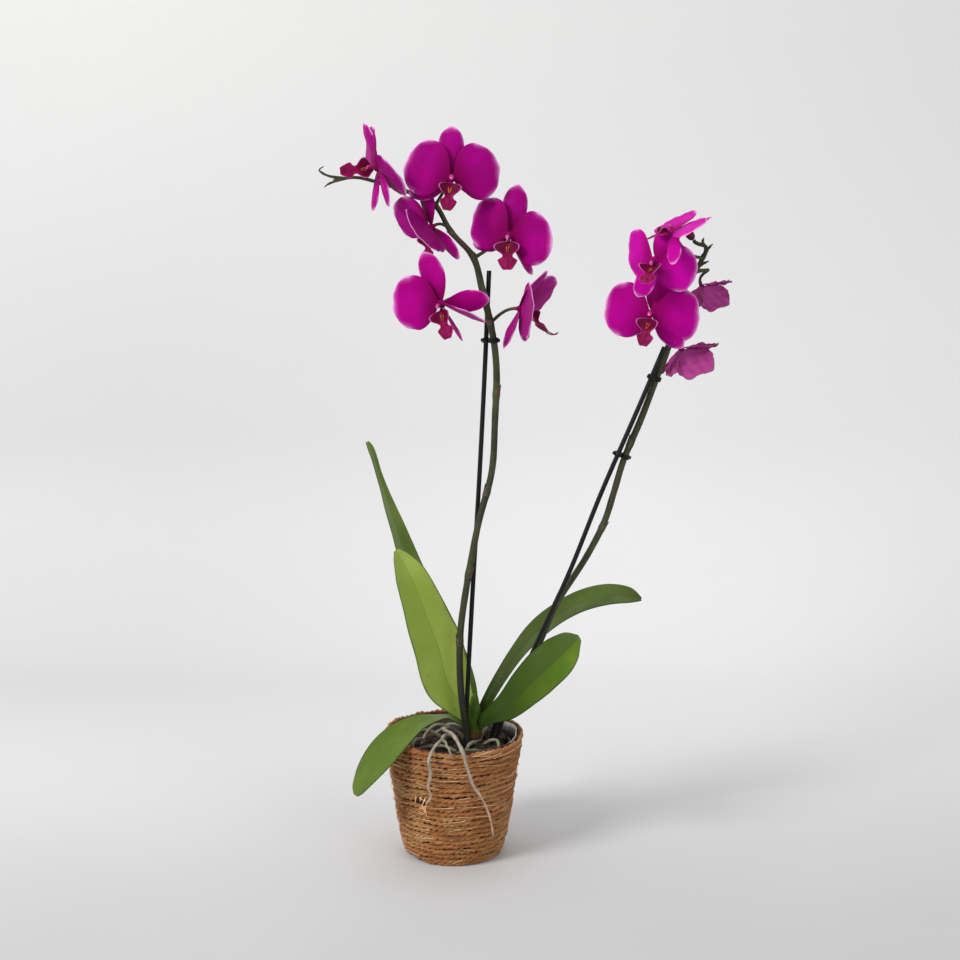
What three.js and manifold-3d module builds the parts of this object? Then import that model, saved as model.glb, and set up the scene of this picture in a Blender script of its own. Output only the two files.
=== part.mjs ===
// Potted moth orchid: a two-spiked plant in bark, in a nursery pot that stands in a lined seagrass basket.
// Millimetres, +Z up. The origin is the middle of the basket's underside, and -Y is the front.
import * as THREE from 'three';
import { mergeVertices } from 'three/addons/utils/BufferGeometryUtils.js';
import Module from 'manifold-3d';

const wasm = await Module();
wasm.setup();

// Driving dimensions
const gap = 0.3;
const slack = 0.04;

const basket = {
  topRadius: 69.4,
  baseRadius: 50.4,
  height: 124,
  wall: 4.6,
  floor: 5,
  rows: 21,
  relief: 0.75,
  footTuck: 5,
  footTuckHeight: 7,
  waveFrom: 20,
  waveHeight: 60,
  wave: 0.9,
  wavePhase: 0.6,
  ripple: 0.5,
  rimHump: 3.4,
  rimHumpAngle: 2.15,
  rimHumpWidth: 0.6,
  rimRound: 1.2,
  footRound: 3,
  segments: 23,
};
const innerBends = [60, 18];

const liner = {
  wall: 0.8,
  clearance: 1.1,
  rise: 0.4,
  ripple: 0.9,
  ripples: 5,
  ripplePhase: 1.2,
  segments: 23,
};

const pot = {
  rimRadius: 59.2,
  rimDepth: 7,
  topRadius: 57.4,
  baseRadius: 41,
  height: 105,
  wall: 1.2,
  drainRadius: 4,
  drainRing: 26,
  drains: 4,
  drainSides: 6,
  segments: 18,
};

const bark = {
  depthBelowRim: 8,
  chips: 15,
  ringRadius: 52,
  chipLength: 22,
  chipWidth: 14,
  chipHeight: 9,
  smallest: 0.6,
  variety: 0.6,
  tumble: 0.9,
  lift: 2,
  tallest: 14,
  clearance: 0.5,
  seed: 5,
};

const goldenAngle = 2.4;

const crown = { x: 20, y: 9.5, bottom: 113, top: 159, sides: 12 };
const stakeRadius = 2.3;
const petalThickness = 0.8;
const leafThickness = 2;

// Finishes
const finishes = {
  seagrass: new THREE.MeshStandardMaterial({ color: 0xb07f4c, roughness: 0.85 }),
  linerFilm: new THREE.MeshStandardMaterial({ color: 0xd9d6cc, roughness: 0.35 }),
  potPlastic: new THREE.MeshStandardMaterial({ color: 0x4a4a48, roughness: 0.4 }),
  bark: new THREE.MeshStandardMaterial({ color: 0x3f2c1f, roughness: 0.95 }),
  root: new THREE.MeshStandardMaterial({ color: 0xa9a595, roughness: 0.8 }),
  crown: new THREE.MeshStandardMaterial({ color: 0x6f8a35, roughness: 0.5 }),
  leaf: new THREE.MeshStandardMaterial({ color: 0x5d8526, roughness: 0.4 }),
  stem: new THREE.MeshStandardMaterial({ color: 0x45492a, roughness: 0.55 }),
  petal: new THREE.MeshStandardMaterial({ color: 0xa80a86, roughness: 0.55 }),
  lip: new THREE.MeshStandardMaterial({ color: 0x8a0648, roughness: 0.45 }),
  column: new THREE.MeshStandardMaterial({ color: 0xe7b7cf, roughness: 0.4 }),
  blackPlastic: new THREE.MeshStandardMaterial({ color: 0x17181a, roughness: 0.35 }),
};

const object = new THREE.Group();

function addPiece(name, geometry, material, parent = object) {
  const mesh = new THREE.Mesh(geometry, material);
  mesh.name = name;
  parent.add(mesh);
  return mesh;
}

// Seeded random numbers from 0 to 1
function randomSource(seed) {
  let state = seed;
  return () => {
    state = (state * 1664525 + 1013904223) % 4294967296;
    return state / 4294967296;
  };
}

// Closed solids: shared vertices merged, flat triangles dropped, faces pointing out
function closeSolid(source) {
  const plain = source.clone();
  plain.deleteAttribute('normal');
  plain.deleteAttribute('uv');
  const merged = mergeVertices(plain, 1e-3);
  const index = merged.index.array;
  const faces = [];
  for (let i = 0; i < index.length; i += 3) {
    const [a, b, c] = [index[i], index[i + 1], index[i + 2]];
    if (a !== b && b !== c && c !== a) {
      faces.push(a, b, c);
    }
  }
  merged.setIndex(faces);
  if (signedVolume(merged) < 0) {
    faces.reverse();
    merged.setIndex(faces);
  }
  return merged;
}

function signedVolume(geometry) {
  const position = geometry.getAttribute('position');
  const index = geometry.index.array;
  const corners = [new THREE.Vector3(), new THREE.Vector3(), new THREE.Vector3()];
  let volume = 0;
  for (let i = 0; i < index.length; i += 3) {
    corners.forEach((corner, k) => corner.fromBufferAttribute(position, index[i + k]));
    volume += corners[0].dot(corners[1].cross(corners[2])) / 6;
  }
  return volume;
}

function toManifold(geometry) {
  const solid = closeSolid(geometry);
  return new wasm.Manifold(new wasm.Mesh({
    numProp: 3,
    vertProperties: new Float32Array(solid.getAttribute('position').array),
    triVerts: new Uint32Array(solid.index.array),
  }));
}

function toGeometry(solid) {
  const mesh = solid.simplify(slack).getMesh();
  const geometry = new THREE.BufferGeometry();
  geometry.setAttribute('position', new THREE.BufferAttribute(new Float32Array(mesh.vertProperties), 3));
  geometry.setIndex(new THREE.BufferAttribute(new Uint32Array(mesh.triVerts), 1));
  return geometry;
}

function fuse(geometries) {
  return geometries.map(toManifold).reduce((whole, next) => whole.add(next));
}

// A closed solid through rings of points, with its two ends capped flat
function loft(rings) {
  const sides = rings[0].length;
  const points = rings.flat();
  const faces = [];
  for (let ring = 0; ring < rings.length - 1; ring += 1) {
    for (let side = 0; side < sides; side += 1) {
      const a = ring * sides + side;
      const b = ring * sides + ((side + 1) % sides);
      faces.push(a, b, b + sides, a, b + sides, a + sides);
    }
  }
  [0, rings.length - 1].forEach((ring) => {
    const centre = new THREE.Vector3();
    rings[ring].forEach((point) => centre.addScaledVector(point, 1 / sides));
    const middle = points.push(centre) - 1;
    for (let side = 0; side < sides; side += 1) {
      const a = ring * sides + side;
      const b = ring * sides + ((side + 1) % sides);
      faces.push(...(ring === 0 ? [middle, b, a] : [middle, a, b]));
    }
  });
  const geometry = new THREE.BufferGeometry().setFromPoints(points);
  geometry.setIndex(faces);
  return geometry;
}

function curveThrough(points) {
  return new THREE.CatmullRomCurve3(points.map((point) => new THREE.Vector3(...point)));
}

// A round stem along a curve, whose radius changes along it
function stem(curve, radiusAt, sides, steps) {
  const frames = curve.computeFrenetFrames(steps, false);
  const rings = [];
  for (let i = 0; i <= steps; i += 1) {
    const centre = curve.getPointAt(i / steps);
    const radius = radiusAt(i / steps);
    rings.push(Array.from({ length: sides }, (_, side) => {
      const angle = (side / sides) * Math.PI * 2;
      return centre.clone()
        .addScaledVector(frames.normals[i], Math.cos(angle) * radius)
        .addScaledVector(frames.binormals[i], Math.sin(angle) * radius);
    }));
  }
  return loft(rings);
}

// A thin blade: both faces follow one middle surface and are split into triangles alike
function blade(along, across, thickness, place) {
  const sheet = new THREE.PlaneGeometry(2, 1, across, along);
  const middle = sheet.getAttribute('position');
  for (let i = 0; i < middle.count; i += 1) {
    const point = place(middle.getY(i) + 0.5, middle.getX(i));
    middle.setXYZ(i, point.x, point.y, point.z);
  }
  sheet.computeVertexNormals();
  const normal = sheet.getAttribute('normal');
  const points = [];
  [0.5, -0.5].forEach((side) => {
    for (let i = 0; i < middle.count; i += 1) {
      points.push(new THREE.Vector3().fromBufferAttribute(middle, i)
        .addScaledVector(new THREE.Vector3().fromBufferAttribute(normal, i), side * thickness));
    }
  });
  const index = Array.from(sheet.index.array);
  const directed = new Set();
  for (let i = 0; i < index.length; i += 3) {
    for (let k = 0; k < 3; k += 1) {
      directed.add(`${index[i + k]} ${index[i + ((k + 1) % 3)]}`);
    }
  }
  const faces = [...index];
  const under = middle.count;
  for (let i = 0; i < index.length; i += 3) {
    faces.push(index[i] + under, index[i + 2] + under, index[i + 1] + under);
  }
  directed.forEach((edge) => {
    const [a, b] = edge.split(' ').map(Number);
    if (!directed.has(`${b} ${a}`)) {
      faces.push(b, a, a + under, b, a + under, b + under);
    }
  });
  const geometry = new THREE.BufferGeometry().setFromPoints(points);
  geometry.setIndex(faces);
  return geometry;
}

// A turned solid about Z from a profile of [radius, height] points that closes on the axis
function turned(profile, segments) {
  const points = profile.map(([radius, height]) => new THREE.Vector2(radius, height));
  return closeSolid(new THREE.LatheGeometry(points, segments).rotateX(Math.PI / 2));
}

function moveVertices(geometry, move) {
  const position = geometry.getAttribute('position');
  for (let i = 0; i < position.count; i += 1) {
    const point = move(new THREE.Vector3().fromBufferAttribute(position, i));
    position.setXYZ(i, point.x, point.y, point.z);
  }
  return geometry;
}

// Basket: rope rows wound round a tapered wall, as ridges on its outside
function basketRadius(height) {
  const share = height / basket.height;
  const tuck = basket.footTuck * Math.exp(-height / basket.footTuckHeight);
  return basket.baseRadius + (basket.topRadius - basket.baseRadius) * share - tuck;
}

// How far the rows of the hand-wound wall bow up or down at an angle and height
function basketRise(angle, height) {
  const share = Math.min(1, Math.max(0, (height - basket.waveFrom) / basket.waveHeight));
  const away = (angle - basket.rimHumpAngle) / basket.rimHumpWidth;
  const hump = basket.rimHump * Math.exp(-away * away);
  const wave = basket.wave * Math.sin(2 * angle + basket.wavePhase);
  return share * (wave + basket.ripple * Math.sin(5 * angle) + hump);
}

function makeBasket() {
  const profile = [[0, 0], [basketRadius(0) - basket.footRound, 0]];
  const halves = basket.rows * 2;
  const half = basket.height / halves;
  for (let i = 0; i < halves; i += 1) {
    const height = (i + 0.5) * half;
    const ridge = i % 2 === 0 ? basket.relief : -basket.relief;
    profile.push([basketRadius(height) + ridge, height]);
  }
  profile.push([basketRadius(basket.height) - basket.rimRound, basket.height]);
  [basket.height - basket.rimRound / 2, ...innerBends, basket.floor].forEach((height) => {
    profile.push([basketRadius(height) - basket.wall, height]);
  });
  profile.push([0, basket.floor]);
  const solid = turned(profile, basket.segments);
  return moveVertices(solid, (point) => {
    point.z += basketRise(Math.atan2(point.y, point.x), point.z);
    return point;
  });
}

// Liner: a thin film cup against the basket's inner wall, its free edge rippled
function linerRadius(height) {
  return basketRadius(height) - basket.wall - liner.clearance;
}

function makeLiner() {
  const bottom = basket.floor + gap;
  const top = basket.height + liner.rise;
  const profile = [
    [0, bottom],
    [linerRadius(bottom), bottom],
    ...innerBends.toReversed().map((height) => [linerRadius(height), height]),
    [linerRadius(top), top],
    [linerRadius(top) - liner.wall, top],
    ...innerBends.map((height) => [linerRadius(height) - liner.wall, height]),
    [linerRadius(bottom) - liner.wall, bottom + liner.wall],
    [0, bottom + liner.wall],
  ];
  return moveVertices(turned(profile, liner.segments), (point) => {
    if (point.z > top - liner.wall) {
      const angle = Math.atan2(point.y, point.x);
      const ripple = liner.ripple * Math.sin(liner.ripples * angle + liner.ripplePhase);
      point.z += basketRise(angle, point.z) + ripple;
    }
    return point;
  });
}

// Nursery pot: a tapered cup with a rolled rim and drain holes
const potFloor = basket.floor + liner.wall + gap * 2;
const potTop = potFloor + pot.height;

function potInnerRadius(height) {
  const share = (height - potFloor) / pot.height;
  return pot.baseRadius + (pot.topRadius - pot.baseRadius) * share - pot.wall;
}

function makePot() {
  const step = potTop - pot.rimDepth;
  const profile = [
    [0, potFloor],
    [pot.baseRadius, potFloor],
    [potInnerRadius(step) + pot.wall, step],
    [pot.rimRadius, step],
    [pot.rimRadius, potTop],
    [potInnerRadius(potTop), potTop],
    [potInnerRadius(potFloor + pot.wall), potFloor + pot.wall],
    [0, potFloor + pot.wall],
  ];
  let solid = toManifold(turned(profile, pot.segments));
  for (let i = 0; i < pot.drains; i += 1) {
    const angle = (i / pot.drains) * Math.PI * 2;
    const drill = new THREE.CylinderGeometry(pot.drainRadius, pot.drainRadius, pot.wall * 4, pot.drainSides);
    drill.rotateX(Math.PI / 2);
    drill.translate(Math.cos(angle) * pot.drainRing, Math.sin(angle) * pot.drainRing, potFloor);
    solid = solid.subtract(toManifold(drill));
  }
  return toGeometry(solid);
}

// Stakes: slim rods, each pushed into the bark beside a flower spike
const stakeCurves = {
  stake_left: curveThrough([
    [10, 0, 40], [13, 0, 140], [19.5, 1, 270], [25.5, 2, 372], [30.5, 3.5, 470], [35.2, 5.5, 579],
  ]),
  stake_right: curveThrough([
    [18, 0, 62], [42, 0, 118], [82, 0, 212], [114, -2, 285], [145, -4, 366], [180, -6, 450], [203, -9, 507],
  ]),
};

// Flower spikes: [x, y, z] along each spike from its foot in the bark
const spikes = {
  spike_left: {
    curve: curveThrough([
      [14, -9, 80], [14, -9, 115], [7.5, -9, 170], [7, -9, 222], [12.5, -8, 267], [25, -7, 335],
      [38, -4, 386], [41, -3, 436], [42.5, -2, 480], [40.5, -2, 507], [35.8, -3, 532], [28.5, -3, 562],
      [20, -1, 592], [-1, 0, 616], [-16, -2, 641], [-29, 2, 648], [-46, 10, 655], [-66, 14, 661],
      [-92, 8, 667], [-113, 4, 664],
    ]),
    steps: 33,
    footRadius: 3.3,
    tipRadius: 1.4,
    slimFrom: 0.72,
    slimPower: 0.8,
    nodes: [0.2, 0.3, 0.42, 0.56],
  },
  spike_right: {
    curve: curveThrough([
      [35, 14, 80], [42, 13, 124], [84, 9, 208], [102, 8, 251], [131, 5.5, 299], [148, 3, 334],
      [157, 1, 364], [166, 0, 396], [182.5, -1, 437], [197.5, -2, 479], [207, 0, 504], [217.5, 5, 540],
      [224, 1, 566], [231.5, -6, 578.5], [236.5, -13, 590], [239.5, -18, 598], [238.5, -20.5, 603],
      [233.5, -21, 604.5], [229, -21, 606.5], [227.5, -21, 608.5],
    ]),
    steps: 34,
    footRadius: 3.2,
    tipRadius: 1.8,
    slimFrom: 0.78,
    slimPower: 0.8,
    nodes: [0.32, 0.47, 0.62],
  },
};

// Blooms: the share along its spike where each one's stalk leaves, its centre and the way it faces, and
// for each petal and sepal its angle round the bloom, its tilt forward and its twist, in degrees
const blooms = [
  {
    name: 'bloom_a', spike: 'spike_left', joint: 0.928, centre: [-71, -8, 676], faces: [-0.95, -0.3, -0.05],
    size: 0.92, lipDrop: 0, lipRoll: -75, lipReach: 1.15, lipSpread: 1, whisker: 0,
    dorsal: [118, 12], right: [-24, -20, 30], left: [135, 2], lowRight: [-62, 0], lowLeft: [-104, 13],
  },
  {
    name: 'bloom_b', spike: 'spike_left', joint: 0.845, centre: [0, -27, 666], faces: [0, -1, 0],
    size: 0.97, lipDrop: 62, lipRoll: -8, lipSpread: 1, whisker: 0,
    dorsal: [91, -10], right: [14, -3], left: [158, -3], lowRight: [-16, -20], lowLeft: [-158, -8],
  },
  {
    name: 'bloom_c', spike: 'spike_left', joint: 0.803, centre: [-20, -10, 620], faces: [-0.6, -0.5, -0.38],
    size: 0.9, lipDrop: 58, lipSpread: 1, whisker: 6,
    dorsal: [97, -13], right: [28, 58], left: [146, 14], lowRight: [-50, 8], lowLeft: [-122, -14],
  },
  {
    name: 'bloom_d', spike: 'spike_left', joint: 0.756, centre: [54, -24, 613], faces: [-0.22, -0.95, -0.2],
    size: 0.95, lipDrop: 62, bow: [0, 4, -3], lipSpread: 1.2, whisker: 0,
    dorsal: [82, -24, 8], right: [-4, 18], left: [156, -20], lowRight: [-66, 4, 50], lowLeft: [-160, -14],
  },
  {
    name: 'bloom_e', spike: 'spike_left', joint: 0.7, centre: [-10, -26, 549], faces: [-0.35, -0.9, -0.25],
    size: 1, lipDrop: 60, lipRoll: 20, lipSpread: 1, whisker: 0,
    dorsal: [108, -4], right: [-18, 12, 61], left: [175, 14], lowRight: [-2, -22], lowLeft: [-80, -16, 55],
  },
  {
    name: 'bloom_f', spike: 'spike_left', joint: 0.662, centre: [66, -4, 543], faces: [0.86, -0.46, -0.05],
    size: 0.96, lipDrop: 27, bow: [0, 0, -4], lipSpread: 1.1, whisker: 12,
    dorsal: [98, 42], right: [36, 30, 25], left: [178, 45], lowRight: [-48, 0], lowLeft: [-118, 0, -50],
  },
  {
    name: 'bloom_g', spike: 'spike_right', joint: 0.85, centre: [190.5, -10, 539], faces: [-0.36, -0.93, -0.05],
    size: 0.98, lipDrop: 58, lipRoll: -8, lipSpread: 1, whisker: 0,
    dorsal: [84, -32], right: [-7, -18], left: [172, 10], lowRight: [-52, -8], lowLeft: [-150, -8],
  },
  {
    name: 'bloom_h', spike: 'spike_right', joint: 0.888, centre: [191, -22, 590], faces: [-0.45, -0.82, -0.36],
    size: 0.9, lipDrop: 12, lipSpread: 1.15, whisker: 0,
    dorsal: [66, -48], right: [-22, -2], left: [176, -29, 6], lowRight: [-66, -8], lowLeft: [-118, 22],
  },
  {
    name: 'bloom_i', spike: 'spike_right', joint: 0.956, centre: [206, -40, 616], faces: [-0.5, -0.1, 0.86],
    size: 0.75, lipDrop: 75, lipSpread: 1, whisker: 0,
    dorsal: [74, -2], right: [38, -4], left: [140, 12], lowRight: [-44, -34], lowLeft: [-175, 20],
  },
  {
    name: 'bloom_j', spike: 'spike_right', joint: 0.927, centre: [241, 17, 563], faces: [0.45, 0.2, -0.87],
    bow: [28, 4, 3], size: 0.64, lipDrop: 10, lipSpread: 0.6, whisker: 0,
    dorsal: [90, 28], right: [12, 58], left: [168, 58], lowRight: [-58, 28], lowLeft: [-122, 28],
  },
  {
    name: 'bloom_k', spike: 'spike_right', joint: 0.8, centre: [222, 14, 502], faces: [0.5, 0.1, -0.85],
    size: 0.76, lipDrop: 10, lipSpread: 0.6, whisker: 6,
    dorsal: [90, 30], right: [14, 56], left: [166, 56], lowRight: [-60, 30], lowLeft: [-120, 30],
  },
];

const radians = THREE.MathUtils.degToRad;

// A bloom's frame: +Z the way it faces, +Y up to its dorsal sepal
function bloomMatrix(bloom) {
  const forward = new THREE.Vector3(...bloom.faces).normalize();
  const right = new THREE.Vector3(0, 0, 1).cross(forward).normalize();
  const up = forward.clone().cross(right);
  return new THREE.Matrix4().makeBasis(right, up, forward)
    .setPosition(...bloom.centre);
}

// One petal or sepal, from the bloom's middle out along an angle round it
function tepal(shape, [angle, tilt, twist = 0], layer) {
  const { length, breadth, claw, clawSharpness, cup, arch, along, across } = shape;
  const place = (u, v) => {
    const s = 2 * u - 1;
    const reach = (s * Math.sqrt(1 - (v * v) / 2) + 1) / 2;
    const side = v * Math.sqrt(1 - (s * s) / 2) * (1 - claw * (1 - reach) ** clawSharpness);
    return new THREE.Vector3(
      reach * (length - receptacle.inset),
      (side * breadth) / 2,
      cup * side * side + arch * reach * reach,
    );
  };
  return blade(along, across, petalThickness, place)
    .rotateX(radians(twist))
    .rotateY(radians(-tilt))
    .translate(receptacle.inset, 0, 0)
    .rotateZ(radians(angle))
    .translate(0, 0, layer);
}

const petalShape = {
  length: 47, breadth: 55, claw: 0.65, clawSharpness: 7, cup: 0, arch: -1.5, along: 4, across: 4,
};
const dorsalShape = {
  length: 51, breadth: 27, claw: 0.5, clawSharpness: 3, cup: -1.5, arch: -2, along: 4, across: 2,
};
const lateralShape = {
  length: 45, breadth: 23, claw: 0.5, clawSharpness: 3, cup: -1.5, arch: -3, along: 4, across: 2,
};
const receptacle = { back: -4, front: 2.4, backRadius: 3, frontRadius: 5.6, inset: 2 };
const petalLayer = 1;
const sepalLayer = -1.8;

function makeTepals(bloom) {
  const { front, back, frontRadius, backRadius } = receptacle;
  const hub = new THREE.CylinderGeometry(frontRadius, backRadius, front - back, 6);
  hub.rotateX(Math.PI / 2).translate(0, 0, (front + back) / 2);
  return fuse([
    hub,
    tepal(dorsalShape, bloom.dorsal, sepalLayer),
    tepal(lateralShape, bloom.lowRight, sepalLayer),
    tepal(lateralShape, bloom.lowLeft, sepalLayer),
    tepal(petalShape, bloom.right, petalLayer),
    tepal(petalShape, bloom.left, petalLayer),
  ]);
}

// Lip: one three-lobed sheet on a small root under the column, with two whiskers at its tip
const lipShape = {
  length: 28,
  rootY: -5.2,
  rootZ: 4.7,
  rootRadius: 2.3,
  halfWidths: [3, 10.5, 10.5, 4, 8.2, 6.8, 3.4],
  lobeRise: [1.5, 7.5, 7, 1.2, 0.4, 0, 0],
  lobePower: 1.6,
  sag: 2,
  thickness: 1,
};
const whiskerBend = [[1.6, 0, -0.06], [3, 0, 0.35], [3, 0.15, 0.8], [1.6, 0.45, 0.95]];
const whiskerRadius = { foot: 0.75, tip: 0.4 };

function alongLip(values, u) {
  const place = u * (values.length - 1);
  const low = Math.min(Math.floor(place), values.length - 2);
  return values[low] + (values[low + 1] - values[low]) * (place - low);
}

function makeLip(bloom) {
  const tongueSag = (u) => -lipShape.sag * u * u;
  const sheet = blade(lipShape.halfWidths.length - 1, 2, lipShape.thickness, (u, v) => new THREE.Vector3(
    v * alongLip(lipShape.halfWidths, u) * bloom.lipSpread,
    tongueSag(u) + alongLip(lipShape.lobeRise, u) * Math.abs(v) ** lipShape.lobePower,
    u * lipShape.length * (bloom.lipReach ?? 1),
  ));
  const whisker = (mirror) => {
    const curve = curveThrough(whiskerBend.map(([x, rise, reach]) => [
      mirror * x, tongueSag(1) + rise * bloom.whisker, lipShape.length + reach * bloom.whisker,
    ]));
    return stem(curve, (t) => whiskerRadius.foot + (whiskerRadius.tip - whiskerRadius.foot) * t, 3, 3);
  };
  const tongue = bloom.whisker > 0 ? [sheet, whisker(1), whisker(-1)] : [sheet];
  const root = new THREE.IcosahedronGeometry(lipShape.rootRadius, 0);
  tongue.forEach((part) => part.rotateX(radians(bloom.lipDrop)));
  [root, ...tongue].forEach((part) => {
    part.translate(0, lipShape.rootY, lipShape.rootZ).rotateZ(radians(bloom.lipRoll ?? 0));
  });
  return fuse([root, ...tongue]);
}

// Column: a short hooded post over the lip, as [height, rise, radius]
const columnSections = [[receptacle.front + gap, 0.2, 1.9], [5.5, 0.7, 2.1], [8.6, 0.9, 2.5], [11, 0, 1.5]];

function makeColumn() {
  return loft(columnSections.map(([z, y, radius]) => Array.from({ length: 6 }, (_, side) => {
    const angle = (side / 6) * Math.PI * 2;
    return new THREE.Vector3(Math.cos(angle) * radius, y + Math.sin(angle) * radius, z);
  })));
}

function addBloom(bloom) {
  const holder = new THREE.Group();
  holder.applyMatrix4(bloomMatrix(bloom));
  object.add(holder);
  const scale = new THREE.Matrix4().makeScale(bloom.size, bloom.size, bloom.size);
  addPiece(`${bloom.name}_tepals`, toGeometry(makeTepals(bloom)).applyMatrix4(scale), finishes.petal, holder);
  addPiece(`${bloom.name}_lip`, toGeometry(makeLip(bloom)).applyMatrix4(scale), finishes.lip, holder);
  addPiece(`${bloom.name}_column`, closeSolid(makeColumn()).applyMatrix4(scale), finishes.column, holder);
}

// The middle of a spike's own straight steps, at a share of its length
function onSpike(spike, share) {
  const place = share * spike.steps;
  const low = Math.min(Math.floor(place), spike.steps - 1);
  return spike.curve.getPointAt(low / spike.steps)
    .lerp(spike.curve.getPointAt((low + 1) / spike.steps), place - low);
}

// A bloom's stalk: from its joint on the spike to the back of the bloom, straight into it
const stalk = { footRadius: 1.7, topRadius: 1.4, straight: 0.55, leave: 0.4, sides: 4, steps: 6 };

function bloomStalk(bloom) {
  const matrix = bloomMatrix(bloom);
  const joint = onSpike(spikes[bloom.spike], bloom.joint);
  const back = receptacle.back * bloom.size - gap;
  const end = new THREE.Vector3(0, 0, back).applyMatrix4(matrix);
  const reach = joint.distanceTo(end);
  const beforeEnd = new THREE.Vector3(0, 0, back - reach * stalk.straight).applyMatrix4(matrix);
  const bow = new THREE.Vector3(...(bloom.bow ?? [0, 0, 1]));
  const afterJoint = joint.clone().lerp(beforeEnd, stalk.leave).add(bow);
  const curve = new THREE.CubicBezierCurve3(joint, afterJoint, beforeEnd, end);
  const radiusAt = (t) => stalk.footRadius + (stalk.topRadius - stalk.footRadius) * t;
  return stem(curve, radiusAt, stalk.sides, stalk.steps);
}

// A scale leaf that hugs the spike at a node, in spike radii along it, out from it and thick
const scaleLeafShape = {
  below: 0.6, above: 3.2, footOut: 0.35, tipOut: 1.15, foot: 1.02, tip: 0.27, firstTurn: 1.4,
};

function scaleLeaf(curve, t, radius, turn) {
  const { below, above, footOut, tipOut, foot, tip } = scaleLeafShape;
  const centre = curve.getPointAt(t);
  const ahead = curve.getTangentAt(t);
  const out = new THREE.Vector3(Math.cos(turn), Math.sin(turn), 0).projectOnPlane(ahead).normalize();
  const start = centre.clone().addScaledVector(ahead, -radius * below).addScaledVector(out, radius * footOut);
  const end = centre.clone().addScaledVector(ahead, radius * above).addScaledVector(out, radius * tipOut);
  return stem(new THREE.LineCurve3(start, end), (along) => radius * (foot + (tip - foot) * along), 5, 1);
}

function spikeRadius(spike, t) {
  const slim = Math.max(0, (t - spike.slimFrom) / (1 - spike.slimFrom));
  return spike.footRadius + (spike.tipRadius - spike.footRadius) * slim ** spike.slimPower;
}

function makeSpike(name, extras) {
  const spike = spikes[name];
  const parts = [stem(spike.curve, (t) => spikeRadius(spike, t), 5, spike.steps)];
  spike.nodes.forEach((t, i) => {
    parts.push(scaleLeaf(spike.curve, t, spikeRadius(spike, t), scaleLeafShape.firstTurn + i * Math.PI));
  });
  blooms.filter((bloom) => bloom.spike === name).forEach((bloom) => parts.push(bloomStalk(bloom)));
  return fuse([...parts, ...extras]);
}

// The last bud, at the very tip of the right spike
const bud = { length: 13, breadth: 8.6 };

function makeBud() {
  const tip = spikes.spike_right.curve.getPoint(1);
  const ahead = spikes.spike_right.curve.getTangent(1);
  const turn = new THREE.Quaternion().setFromUnitVectors(new THREE.Vector3(0, 1, 0), ahead);
  const solid = new THREE.SphereGeometry(0.5, 8, 6).scale(bud.breadth, bud.length, bud.breadth);
  solid.applyQuaternion(turn);
  return closeSolid(solid.translate(...tip.addScaledVector(ahead, bud.length / 2 + gap)));
}

// The bare ends of the spikes, with the small bracts of flowers that have dropped
const twigTip = 0.5;

function twig(spike, share, points, radius) {
  const start = onSpike(spike, share).toArray();
  return stem(curveThrough([start, ...points]), (t) => radius + (twigTip - radius) * t, 5, 4);
}

const leftEnds = [
  twig(spikes.spike_left, 0.985, [[-119, 3, 669], [-126, 2, 674], [-122, 2, 677]], 1.9),
  twig(spikes.spike_left, 0.985, [[-117, 2, 661], [-121, 0, 658]], 1.7),
];
const rightEnds = [
  twig(spikes.spike_right, 0.966, [[241.5, -19.5, 600.5], [245.5, -20, 604.8]], 2.2),
  twig(spikes.spike_right, 0.94, [[238.5, -12, 586.5], [243, -14, 588.7]], 2.2),
  twig(spikes.spike_right, 0.983, [[236, -21, 607], [237, -21.5, 610.5]], 2),
];

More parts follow.
